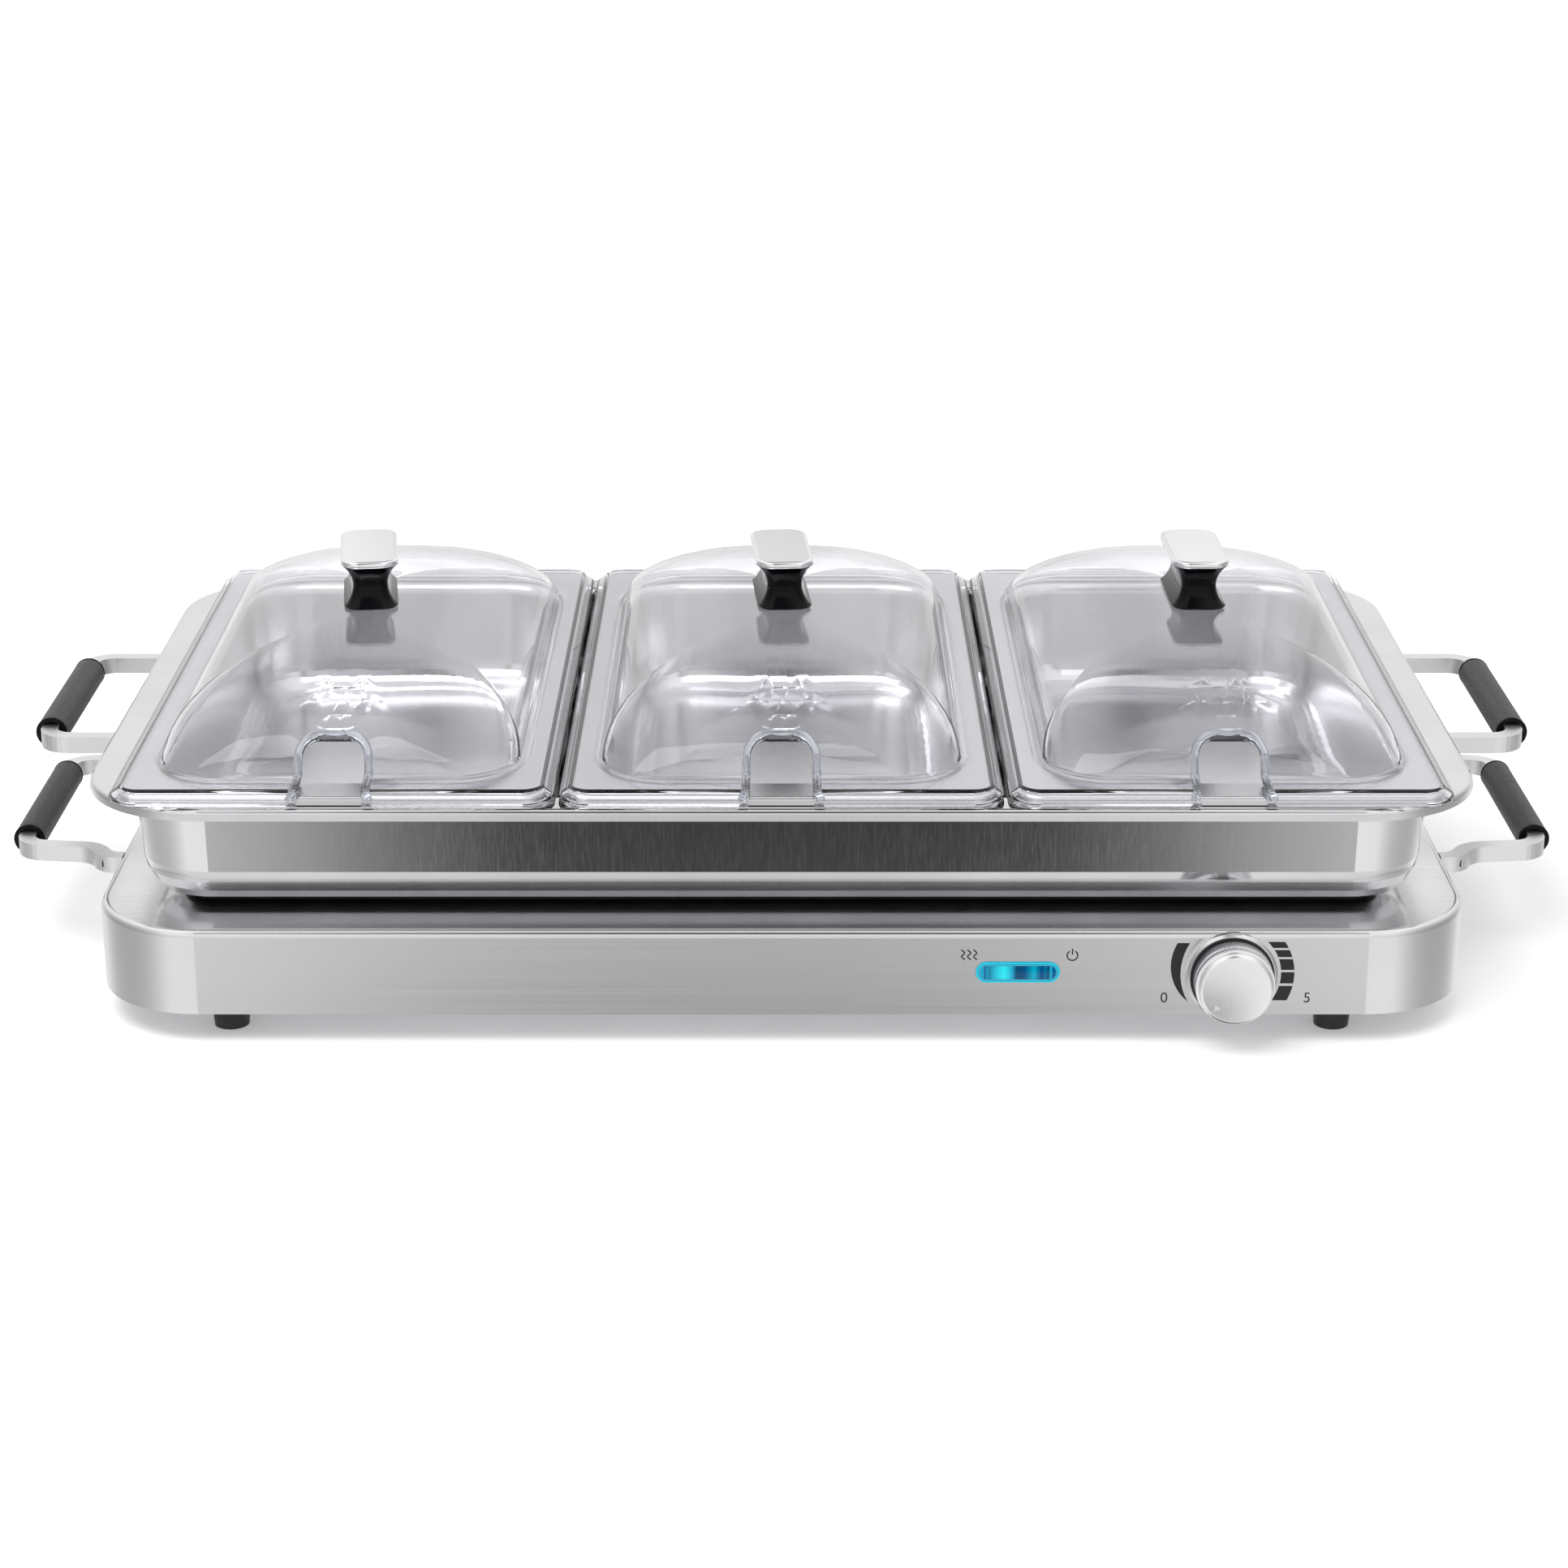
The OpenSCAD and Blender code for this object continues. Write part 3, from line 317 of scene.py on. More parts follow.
FINISHES = {
    "brushed_steel": finish("brushed_steel", (0.80, 0.80, 0.81), (0.14, 0.24), 1.0, ALONG_X,
                            ALONG_Y, 0.0006, 0.03, (2, 30, 30)),
    "polished_steel": finish("polished_steel", (0.74, 0.74, 0.75), (0.07, 0.12), 1.0, UPRIGHT,
                             None, 0.0002, 0.04, (30, 30, 3)),
    "pan_steel": finish("pan_steel", (0.74, 0.74, 0.75), (0.18, 0.26), 1.0, UPRIGHT, None,
                        0.0003, 0.04, (20, 20, 5)),
    "bar_steel": finish("bar_steel", (0.86, 0.86, 0.86), (0.32, 0.42), 1.0, GRAIN, None,
                        0.003, 0.03),
    "zinc_steel": finish("zinc_steel", (0.62, 0.63, 0.66), (0.3, 0.5), 1.0, COARSE, None,
                         0.01, 0.12, (60, 60, 60)),
    "aluminium": finish("aluminium", (0.72, 0.73, 0.74), (0.38, 0.5), 1.0, ALONG_X, None,
                        0.004, 0.06),
    "element": finish("element", (0.20, 0.19, 0.18), (0.45, 0.7), 0.6, COARSE, None, 0.02,
                      0.3, (80, 80, 80)),
    "mineral_wool": finish("mineral_wool", (0.80, 0.77, 0.66), (0.9, 1.0), 0.0, COARSE, None,
                           0.6, 0.15, (120, 120, 120)),
    "ceramic": finish("ceramic", (0.86, 0.84, 0.77), (0.25, 0.4), 0.0, GRAIN, None, 0.01,
                      0.04),
    "brass": finish("brass", (0.72, 0.55, 0.26), (0.25, 0.4), 1.0, GRAIN, None, 0.004, 0.08),
    "lead_sleeve": finish("lead_sleeve", (0.62, 0.10, 0.06), (0.4, 0.55), 0.0, GRAIN, None,
                          0.02, 0.1),
    "white_plastic": finish("white_plastic", (0.82, 0.82, 0.80), (0.3, 0.4), 0.0, GRAIN, None,
                            0.01, 0.03),
    "chrome": finish("chrome", (0.90, 0.90, 0.91), (0.02, 0.05), 1.0, COARSE, None, 0.0, 0.02),
    "gloss_black": finish("gloss_black", (0.004, 0.004, 0.005), (0.05, 0.09), 0.0, COARSE,
                          None, 0.001, 0.2, Specular_IOR_Level=0.12),
    "grip_black": finish("grip_black", (0.035, 0.036, 0.038), (0.42, 0.6), 0.0, GRAIN, None,
                         0.03, 0.15),
    "foot_rubber": finish("foot_rubber", (0.012, 0.012, 0.013), (0.5, 0.7), 0.0, COARSE, None,
                          0.03, 0.2),
    "dial_silver": finish("dial_silver", (0.90, 0.90, 0.91), (0.20, 0.26), 0.85, GRAIN, None,
                          0, 0.02),
    # The two knurl finishes are lit and shaded copies of one metal: painted light and painted shade
    # for the dial's tooth flanks.
    "knurl_painted_light": finish("knurl_painted_light", (0.95, 0.95, 0.96), (0.38, 0.46), 0.8, GRAIN, None,
                          0, 0.03),
    "knurl_painted_shade": finish("knurl_painted_shade", (0.30, 0.29, 0.33), (0.38, 0.46), 0.8, GRAIN, None,
                         0, 0.05),
    "bezel_satin": finish("bezel_satin", (0.76, 0.76, 0.77), (0.14, 0.20), 1.0, GRAIN, None,
                          0, 0.03),
    "panel_black": finish("panel_black", (0.008, 0.008, 0.009), (0.35, 0.5), 0.0, COARSE, None,
                          0.004, 0.2),
    "amber_glass": finish("amber_glass", (0.95, 0.55, 0.15), (0.05, 0.1), 0.0, GRAIN, None, 0,
                          0.05, Transmission_Weight=0.8),
    "blue_glass": finish("blue_glass", (0.15, 0.45, 0.95), (0.05, 0.1), 0.0, GRAIN, None, 0,
                         0.05, Transmission_Weight=0.8),
    "clear_lid": finish("clear_lid", (0.975, 0.975, 1.0), (0.0, 0.03), 0.0, HAZE, None, 0, 0,
                        Transmission_Weight=1.0, IOR=1.47),
    "thick_clear": finish("thick_clear", (0.80, 0.82, 0.86), (0.0, 0.03), 0.0, HAZE, None,
                          0, 0, Transmission_Weight=0.92, IOR=1.42),
}
print("finishes", sorted(FINISHES))

# %% [markdown]
# ## Finishes on the carried parts
#
# The drawn shells, the bars, the feet, the screws and everything inside the base already
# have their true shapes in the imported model, so they stay and only take a finish. It goes
# on the object's own material slots, and the mesh is left alone.

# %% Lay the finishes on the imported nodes
CARRIED = {
    "brushed_steel": "base_housing",
    "polished_steel": "frame_pan",
    "pan_steel": "food_pan_left food_pan_center food_pan_right",
    "bar_steel": "base_handle_left base_handle_right frame_handle_left frame_handle_right",
    "zinc_steel": "bottom_cover cover_posts heat_shield heater_clamps cover_screws"
                  " foot_fasteners base_handle_screws frame_handle_screws thermostat_nut"
                  " thermostat_shaft lid_screw_left lid_screw_center lid_screw_right",
    "aluminium": "heater_plate",
    "element": "heater_tube",
    "mineral_wool": "insulation_pad",
    "ceramic": "thermostat_body terminal_block",
    "brass": "thermal_fuse",
    "lead_sleeve": "inner_wiring",
    "white_plastic": "lamp_holder",
    "amber_glass": "heat_lamp",
    "blue_glass": "power_lamp",
    "foot_rubber": "foot_front_left foot_front_right foot_rear_left foot_rear_right"
                   " cord_gland",
    "bezel_satin": "knob_bezel",
}
for look, names in CARRIED.items():
    for name in names.split():
        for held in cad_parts[name].material_slots:
            held.link = "OBJECT"
            held.material = FINISHES[look]
print("carried", sum(len(names.split()) for names in CARRIED.values()))

# %% [markdown]
# ## Making and placing a piece
#
# Each new piece is one mesh, made in a bmesh. A helper turns the bmesh into an object,
# smooths it but keeps its sharp bends, hangs it on the empty of the body it rides on, gives
# it its finish and hides the imported nodes it stands for.

# %% Define how a piece is finished off
SHARP = math.radians(38)


def piece(bm, name, look, body, stands_for=(), sharp=SHARP):
    """Makes an object from a bmesh and ties it to the frame."""
    mesh = bpy.data.meshes.new(name)
    bm.to_mesh(mesh)
    bm.free()
    mesh.shade_smooth()
    mesh.set_sharp_from_angle(angle=sharp)
    mesh.materials.append(FINISHES[look])
    made = bpy.data.objects.new(name, mesh)
    scene.collection.objects.link(made)
    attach(made, body)
    if stands_for:
        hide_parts(*stands_for)
    return made


def middle(node):
    """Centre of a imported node's box."""
    low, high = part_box(node)
    return (low + high) / 2


def lathe(profile, steps):
    """Turns a profile of (radius, height) points, in millimetres, round the Z axis."""
    bm = bmesh.new()
    points = [bm.verts.new((r * MM, 0, h * MM)) for r, h in profile]
    edges = [bm.edges.new(pair) for pair in zip(points, points[1:])]
    bmesh.ops.spin(bm, geom=points + edges, axis=(0, 0, 1), cent=(0, 0, 0),
                   angle=math.tau, steps=steps, use_merge=True)
    bmesh.ops.remove_doubles(bm, verts=bm.verts, dist=1e-6)
    bmesh.ops.recalc_face_normals(bm, faces=bm.faces)
    return bm


def arc(centre, radius, start, end, steps):
    """Points along a circle's arc, with angles in degrees."""
    angles = [math.radians(start + (end - start) * i / steps) for i in range(steps + 1)]
    return [(centre[0] + radius * math.cos(a), centre[1] + radius * math.sin(a))
            for a in angles]


print("piece helpers ready")

# %% [markdown]
# ## Rounded rings
#
# The lids, the knobs and their caps are all stacks of rounded rectangles, one above the
# other. One such ring is a plain rectangle whose four corners are bevelled. The next is
# extruded from it and each of its points is moved out from the nearest corner's centre,
# so the rings always match point for point and the corners stay true arcs.

# %% Define the rounded rings
Ring = namedtuple("Ring", "half_x half_y corner z")


def first_ring(bm, ring, steps):
    """A face with four bevelled corners."""
    flat = bmesh.ops.create_circle(bm, cap_ends=True, segments=4, radius=1)["verts"]
    for spot, vertex in zip(((1, 1), (1, -1), (-1, -1), (-1, 1)), flat):
        vertex.co = (spot[0] * ring.half_x * MM, spot[1] * ring.half_y * MM, ring.z * MM)
    bmesh.ops.bevel(bm, geom=flat, offset=ring.corner * MM, offset_type="OFFSET",
                    affect="VERTICES", segments=steps, profile=0.5, material=-1)
    return bm.edges[:]


def next_ring(bm, edges, old, new):
    """Extrudes a ring's edges to the next ring."""
    grown = bmesh.ops.extrude_edge_only(bm, edges=edges)["geom"]
    for vertex in [g for g in grown if isinstance(g, bmesh.types.BMVert)]:
        side = [math.copysign(1, vertex.co.x), math.copysign(1, vertex.co.y)]
        place = []
        for i, (was, now) in enumerate(zip(old[:2], new[:2])):
            way = (vertex.co[i] / MM - side[i] * (was - old.corner)) / old.corner
            place.append((side[i] * (now - new.corner) + way * new.corner) * MM)
        vertex.co = (*place, new.z * MM)
    return [g for g in grown if isinstance(g, bmesh.types.BMEdge) and g.is_boundary]


def ringed(rings, steps, close=False):
    """A surface through a list of rings, with a face on the first and, if close, the last."""
    bm = bmesh.new()
    edges = first_ring(bm, rings[0], steps)
    for old, new in zip(rings, rings[1:]):
        edges = next_ring(bm, edges, old, new)
    if close:
        bmesh.ops.holes_fill(bm, edges=edges, sides=0)
    bmesh.ops.recalc_face_normals(bm, faces=bm.faces)
    return bm


print("ring helpers ready")

# %% [markdown]
# ## Lids
#
# A real lid is pressed from one clear sheet: a low dome, a flat rim, and a skirt that
# flares out over the pan. The dome's rings narrow as a circle's arc, and their corners
# grow rounder towards the top. The sheet is modelled as one surface and a Solidify
# modifier gives it its wall. A close ring beside each bend keeps the flat rim's normals
# true, because clear plastic seen at a low angle turns black where they lean. The spoon
# notch is cut out with bisecting planes before the wall is made.

# %% Shape the lid's surface
LID_TOP = 106.5
DOME = 34
DOME_HALF_X = 72
DOME_HALF_Y = 142.5
DOME_CORNER = 26
DOME_ROUND = 42
SKIRT = Ring(87.75, 162, 12.5, 0)
LID_WALL = 2.2
NOTCH = Vector((13, 0, 120))
NOTCH_CORNER = 6.5


def dome_ring(angle):
    """Ring of the dome at an angle up its arc, in degrees."""
    a = math.radians(angle)
    return Ring(DOME_HALF_X * math.cos(a), DOME_HALF_Y * math.cos(a) ** (2 / 3),
                (DOME_CORNER + DOME_ROUND * math.sin(a)) * math.cos(a),
                LID_TOP + DOME * math.sin(a))


def skirt_ring(inside, z):
    """Ring of the rim or skirt, by its distance inside the skirt's edge."""
    return Ring(SKIRT.half_x - inside, SKIRT.half_y - inside, SKIRT.corner - inside, z)


def lid_rings():
    """Rings from the top of the dome to the lip of the skirt."""
    domes = [dome_ring(a) for a in (88, 86, 83, 79, 74, 69, 63, 57, 50, 43, 36, 29, 22, 15, 9, 4)]
    foot = dome_ring(0)
    fillet = [Ring(foot.half_x + out, foot.half_y + out, foot.corner + out, LID_TOP + up)
              for out, up in ((0.0, 1.2), (0.35, 0.35), (1.2, 0.0), (1.5, 0.0))]
    rim = [skirt_ring(5.5, LID_TOP), skirt_ring(5.2, LID_TOP), skirt_ring(4.5, LID_TOP - 0.12),
           skirt_ring(4.0, LID_TOP - 0.5), skirt_ring(3.6, LID_TOP - 1.2)]
    skirt = [skirt_ring(0.5, 103.0), skirt_ring(0.12, 102.5), skirt_ring(0, 102.0),
             skirt_ring(0, 101.25)]
    return domes + fillet + rim + skirt


def cut(bm, faces, at, facing):
    """Cuts some faces with a plane and returns all of their pieces."""
    parts = set(faces)
    for face in faces:
        parts.update(face.edges)
        parts.update(face.verts)
    done = bmesh.ops.bisect_plane(bm, geom=list(parts), dist=1e-7, plane_co=at,
                                  plane_no=facing)
    return [g for g in done["geom"] if isinstance(g, bmesh.types.BMFace)]


def notch_planes():
    """Planes round the notch: its top, its sides, and five across each corner."""
    planes = [(Vector((0, 0, NOTCH.z)) * MM, Vector((0, 0, 1)))]
    for side in (-1, 1):
        planes.append((Vector((side * NOTCH.x, 0, 0)) * MM, Vector((side, 0, 0))))
        centre = Vector((side * (NOTCH.x - NOTCH_CORNER), 0, NOTCH.z - NOTCH_CORNER))
        for angle in (15, 30, 45, 60, 75):
            a = math.radians(angle)
            facing = Vector((side * math.cos(a), 0, math.sin(a)))
            planes.append(((centre + facing * NOTCH_CORNER) * MM, facing))
    return planes


def open_notch(bm):
    """Takes the notch out of the lid's front."""
    front = [f for f in bm.faces
             if abs(f.calc_center_median().x) < MM and f.calc_center_median().y < -100 * MM]
    for at, facing in notch_planes()[1::6]:
        front = cut(bm, front, at, facing)
    front = [f for f in front if abs(f.calc_center_median().x) < NOTCH.x * MM]
    for at, facing in notch_planes():
        front = cut(bm, front, at, facing)
    inside = [f for f in front if all((f.calc_center_median() - at).dot(facing) < 0
                                      for at, facing in notch_planes())]
    bmesh.ops.delete(bm, geom=inside, context="FACES")


LID_X = {side: middle("lid_" + side).x for side in ("left", "center", "right")}
LID_Y = middle("lid_center").y
print("lids at", LID_X, "rings", len(lid_rings()))

# %% Make the three lids
CORNER_STEPS = 12


def make_lid(side):
    """One lid shell with its notch, without the bead."""
    bm = ringed(lid_rings(), CORNER_STEPS)
    top = max(bm.faces, key=lambda f: f.calc_center_median().z)
    if top.normal.z < 0:
        bmesh.ops.reverse_faces(bm, faces=bm.faces)
    open_notch(bm)
    bmesh.ops.translate(bm, verts=bm.verts, vec=(LID_X[side], LID_Y, 0))
    lid = piece(bm, "lid_shell_" + side, "clear_lid", "lid_" + side,
                ["lid_" + side])
    wall = lid.modifiers.new("wall", "SOLIDIFY")
    wall.thickness = LID_WALL * MM
    wall.offset = -1
    wall.use_even_offset = True
    lid.modifiers.new("true_shading", "WEIGHTED_NORMAL").keep_sharp = True
    return lid


for side in LID_X:
    print(make_lid(side).name)

# %% [markdown]
# ## The bead round the notch
#
# A thick round bead stiffens the cut edge. It runs up one side, over the top and down
# the other, then bends forward across the rim and down the skirt, where its feet spread
# a little. A curve with a round bevel makes such a rod from its path alone; it is then
# made a mesh, so that its place can be put into it.

# %% Lay the bead
BEAD = 1.75


def dome_front(z):
    """How far in front of the lid's middle the dome's front is at a height."""
    rise = max(0, z - LID_TOP) / DOME
    return DOME_HALF_Y * (1 - rise * rise) ** (1 / 3)


def bead_path():
    """Points of the bead from its right foot to its left one."""
    outside = BEAD * 0.55
    half = NOTCH.x + outside
    r = NOTCH_CORNER + outside
    top = NOTCH.z + outside
    rise = [(half, z) for z in (109.4, 111.4)]
    corner = arc((half - r, top - r), r, 0, 90, 6)
    leg = [(half + 1.6, -160.4, 103.0), (half + 1.0, -159.6, 104.6), (half + 0.2, -158, 105.9),
           (half, -154, 106.4), (half, -146.5, 106.7), (half, -143.6, 107.4)]
    arch = [(x, -dome_front(z) + 0.5, z) for x, z in rise + corner]
    right = leg + arch
    return [Vector(p) * MM for p in right + [(-x, y, z) for x, y, z in reversed(right)]]


def rod(name, points, radius, sides=4):
    """A mesh rod along some points, made from a curve with a round bevel."""
    line = bpy.data.curves.new(name, "CURVE")
    line.dimensions = "3D"
    line.bevel_depth = radius * MM
    line.bevel_resolution = sides
    line.use_fill_caps = True
    route = line.splines.new("POLY")
    route.points.add(len(points) - 1)
    for spot, point in zip(route.points, points):
        spot.co = (*point, 1)
    made = bpy.data.objects.new(name, line)
    scene.collection.objects.link(made)
    bpy.context.view_layer.update()
    mesh = bpy.data.meshes.new_from_object(made)
    bpy.data.objects.remove(made)
    bm = bmesh.new()
    bm.from_mesh(mesh)
    bmesh.ops.remove_doubles(bm, verts=bm.verts, dist=1e-6)
    bmesh.ops.recalc_face_normals(bm, faces=bm.faces)
    return bm


for side in LID_X:
    bm = rod("bead", bead_path(), BEAD)
    bmesh.ops.translate(bm, verts=bm.verts, vec=(LID_X[side], LID_Y, 0))
    print(piece(bm, "notch_bead_" + side, "thick_clear", "lid_" + side).name)

# %% [markdown]
# ## Lid knobs
#
# Each knob is a glossy black neck, waisted all round, under a chrome cap with a soft
# edge. Both are closed stacks of rings. The knobs sit a few degrees askew on their
# screws, as fitted by hand, so each stack is turned before it is moved.

# %% Make the knobs and caps
KNOB_FOOT = 140.5
CAP_FOOT = 159.1
KNOB_TURN = {"left": 7, "center": 4, "right": 1}


def neck_rings():
    """Rings of the waisted neck, from its foot up."""
    rings = [Ring(11.0, 25.5, 6.2, KNOB_FOOT), Ring(11.5, 26.0, 6.7, KNOB_FOOT + 0.6)]
    for i in range(1, 14):
        t = i / 14
        waist = math.sin(math.pi * t) ** 0.8
        rings.append(Ring(11.4 - 4.0 * waist, 26.2 - 4.2 * waist, 6.6 - 2.0 * waist,
                          KNOB_FOOT + 0.6 + 17.4 * t))
    return rings + [Ring(11.3, 26.4, 6.8, CAP_FOOT - 0.5), Ring(10.9, 26.0, 6.4, CAP_FOOT)]


def cap_rings():
    """Rings of the cap, from its underside up over a rounded edge."""
    edge = [(0.0, 0.0), (0.35, 0.10), (0.5, 0.35), (0.5, 1.5), (0.35, 2.05), (0.0, 2.45),
            (-0.6, 2.66), (-1.4, 2.7)]
    return [Ring(11.7 + out, 27.0 + out, 7.3 + out, CAP_FOOT + up) for out, up in edge]


for side in LID_X:
    for name, rings, look, slot in (("knob_neck_", neck_rings(), "gloss_black", "knob_black"),
                                    ("knob_cap_", cap_rings(), "chrome", "cap_chrome")):
        bm = ringed(rings, 8, close=True)
        bmesh.ops.rotate(bm, verts=bm.verts, cent=(0, 0, 0),
                         matrix=Matrix.Rotation(math.radians(KNOB_TURN[side]), 3, "Z"))
        bmesh.ops.translate(bm, verts=bm.verts, vec=(LID_X[side], LID_Y, 0))
        node = "lid_" + ("knob_" if look == "gloss_black" else "cap_") + side
        print(piece(bm, name + side, look, "lid_" + side, [node]).name)

# %% [markdown]
# ## Grips
#
# Each grip is a plastic sleeve, open underneath where it was snapped over the bar, with
# a thin glossy ring at each end. A closed outline is spun round the bar's axis, but not
# all the way, and the two ends of the spin are filled.

# %% Make the grips
SLIT = 46
BORE = 4.9
SLEEVE_RADIUS = 6.6
RING_RADIUS = 6.7
SLEEVE_HALF = 41.2
GRIP_HALF = 42.5


def sleeve(outline, centre):
    """Spins a closed outline of (radius, distance along) round the bar, leaving a slit."""
    bm = bmesh.new()
    points = [bm.verts.new((0, y * MM, -r * MM)) for r, y in outline]
    edges = [bm.edges.new((a, b)) for a, b in zip(points, points[1:] + points[:1])]
    bmesh.ops.rotate(bm, verts=points, cent=(0, 0, 0),
                     matrix=Matrix.Rotation(math.radians(SLIT / 2), 3, "Y"))
    bmesh.ops.spin(bm, geom=points + edges, axis=(0, 1, 0), cent=(0, 0, 0),
                   angle=math.radians(360 - SLIT), steps=40)
    bmesh.ops.remove_doubles(bm, verts=bm.verts, dist=1e-7)
    bmesh.ops.holes_fill(bm, edges=[e for e in bm.edges if e.is_boundary], sides=0)
    bmesh.ops.recalc_face_normals(bm, faces=bm.faces)
    bmesh.ops.translate(bm, verts=bm.verts, vec=centre)
    return bm


def grip_outline(low, high, outer, soft):
    """Section of a sleeve from low to high along the bar, with soft outer edges."""
    return [(BORE, low), (outer - soft, low), (outer, low + soft), (outer, high - soft),
            (outer - soft, high), (BORE, high)]


for level, body in (("base", "base"), ("frame", "tray_frame")):
    for side in ("left", "right"):
        node = level + "_grip_" + side
        centre = middle(node)
        centre.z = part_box(node)[1].z - RING_RADIUS * MM
        bm = sleeve(grip_outline(-SLEEVE_HALF, SLEEVE_HALF, SLEEVE_RADIUS, 0.5), centre)
        print(piece(bm, node + "_sleeve", "grip_black", body, [node]).name)
        for end in (-1, 1):
            low, high = sorted((end * SLEEVE_HALF, end * GRIP_HALF))
            bm = sleeve(grip_outline(low, high, RING_RADIUS, 0.35), centre)
            place = "front" if end < 0 else "rear"
            piece(bm, node + "_ring_" + place, "gloss_black", body)

# %% [markdown]
# ## Dial
#
# The dial is turned in one piece: a wide knurled ring, a plain bead, a narrow knurled
# ring, a plain barrel and a bevelled face with a small raised arrow. Its profile is spun
# in many steps, and every second point of the knurled rings is pulled in, which makes the
# teeth. One side of each tooth takes a darker finish and the other a lighter one: painted
# shade and painted light on the flanks.

# %% Turn the dial
DIAL = Vector((179, 0, 29.5))
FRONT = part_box("base_housing")[0].y
TEETH = 120
TOOTH_DEPTH = 0.55
DIAL_FOOT = 3.3
DIAL_FACE = 16.5
BEZEL_FRONT = 3.0


def outward(bm, x, z):
    """Lays a piece made on the floor against the front panel at x and z."""
    bmesh.ops.rotate(bm, verts=bm.verts, cent=(0, 0, 0),
                     matrix=Matrix.Rotation(math.radians(90), 3, "X"))
    bmesh.ops.translate(bm, verts=bm.verts, vec=(x * MM, FRONT, z * MM))
    return bm


WIDE_KNURL = (3.8, 8.2)
NARROW_KNURL = (9.8, 12.0)
dial_profile = [
    (0, DIAL_FOOT), (15.2, DIAL_FOOT), (15.85, WIDE_KNURL[0]), (15.85, WIDE_KNURL[1]),
    (15.3, 8.5), (15.75, 8.8), (15.75, 9.4), (15.4, 9.6), (15.85, NARROW_KNURL[0]),
    (15.85, NARROW_KNURL[1]), (15.4, 12.2), (15.6, 12.4), (15.6, 12.9), (14.9, 13.1),
    (14.9, 15.3), (14.7, 15.6), (13.9, 16.3), (13.6, 16.45), (13.2, DIAL_FACE), (0, DIAL_FACE),
]
bm = lathe(dial_profile, TEETH * 2)


def tooth_step(point):
    """Which half tooth a point on the dial lies on."""
    return math.atan2(point.y, point.x) / math.tau * TEETH * 2


for vertex in bm.verts:
    knurled = any(abs(vertex.co.z / MM - z) < 0.01 for z in WIDE_KNURL + NARROW_KNURL)
    if knurled and round(tooth_step(vertex.co)) % 2:
        vertex.co.xy *= 1 - TOOTH_DEPTH * MM / vertex.co.xy.length
# Each tooth's flanks alternate between the lighter and the darker copy: painted light on one flank,
# painted shade on the other.
for face in bm.faces:
    middle_of_face = face.calc_center_median()
    toothed = any(low < middle_of_face.z / MM < high for low, high in (WIDE_KNURL, NARROW_KNURL))
    face.material_index = 1 + math.floor(tooth_step(middle_of_face)) % 2 if toothed else 0
arrow = bmesh.ops.create_circle(bm, cap_ends=True, segments=3, radius=1.5 * MM)["verts"]
bmesh.ops.rotate(bm, verts=arrow, cent=(0, 0, 0), matrix=Matrix.Rotation(math.radians(135), 3, "Z"))
bmesh.ops.translate(bm, verts=arrow, vec=Vector((-7.6, -7.6, DIAL_FACE)) * MM)
raised = bmesh.ops.extrude_face_region(bm, geom=list({f for v in arrow for f in v.link_faces}))
bmesh.ops.translate(bm, verts=[g for g in raised["geom"] if isinstance(g, bmesh.types.BMVert)],
                    vec=(0, 0, 0.18 * MM))
outward(bm, DIAL.x, DIAL.z)
dial = piece(bm, "dial", "dial_silver", "dial", ["control_knob"], math.radians(24))
# Slots 1 and 2 hold the painted light and painted shade for the tooth flanks.
for look in ("knurl_painted_light", "knurl_painted_shade"):
    dial.data.materials.append(FINISHES[look])
print(dial.name)

# %% [markdown]
# ## Dial shadow ring
#
# A thin dark ring lies on the bezel behind the dial and shows as a dark line round it. It
# is painted shadow: it stands for the shadow in the gap between the bezel and the dial.
# It is a flat ring, turned from a small closed rectangle.

# %% Turn the painted shadow ring
low, high = BEZEL_FRONT - 0.1, BEZEL_FRONT + 0.15
bm = lathe([(14, low), (16.8, low), (16.8, high), (14, high), (14, low)], 96)
# A black ring in place of the shadow between bezel and dial: painted shadow.
print(piece(outward(bm, DIAL.x, DIAL.z), "dial_painted_shadow_ring", "panel_black", "base").name)

# %% [markdown]
# ## Marks on the panel
#
# A black crescent stands for off, and five growing blocks show the heat. Both are
# printed, so they are plates of almost no thickness. Each is a strip of quads whose
# two sides are moved onto circles, then extruded by a hair.

# %% Print the marks
PRINT = 0.06


def strip(bottom, top, left, right, rows=16):
    """A flat strip from bottom to top between two curves x = left(z) and x = right(z)."""
    bm = bmesh.new()
    bmesh.ops.create_grid(bm, x_segments=1, y_segments=rows, size=1)
    for vertex in bm.verts:
        z = bottom + (top - bottom) * (vertex.co.y + 1) / 2
        x = left(z) if vertex.co.x < 0 else right(z)
        vertex.co = (x * MM, z * MM, 0)
    return bm


def printed(bm, name, x, z):
    """Thickens a flat print and lays it on the panel."""
    bmesh.ops.solidify(bm, geom=bm.faces[:], thickness=-PRINT * MM)
    bmesh.ops.recalc_face_normals(bm, faces=bm.faces)
    return piece(outward(bm, x, z), name, "panel_black", "base")


def half_chord(radius, z):
    """Half the width of a circle at a height from its centre."""
    return math.sqrt(radius * radius - z * z)


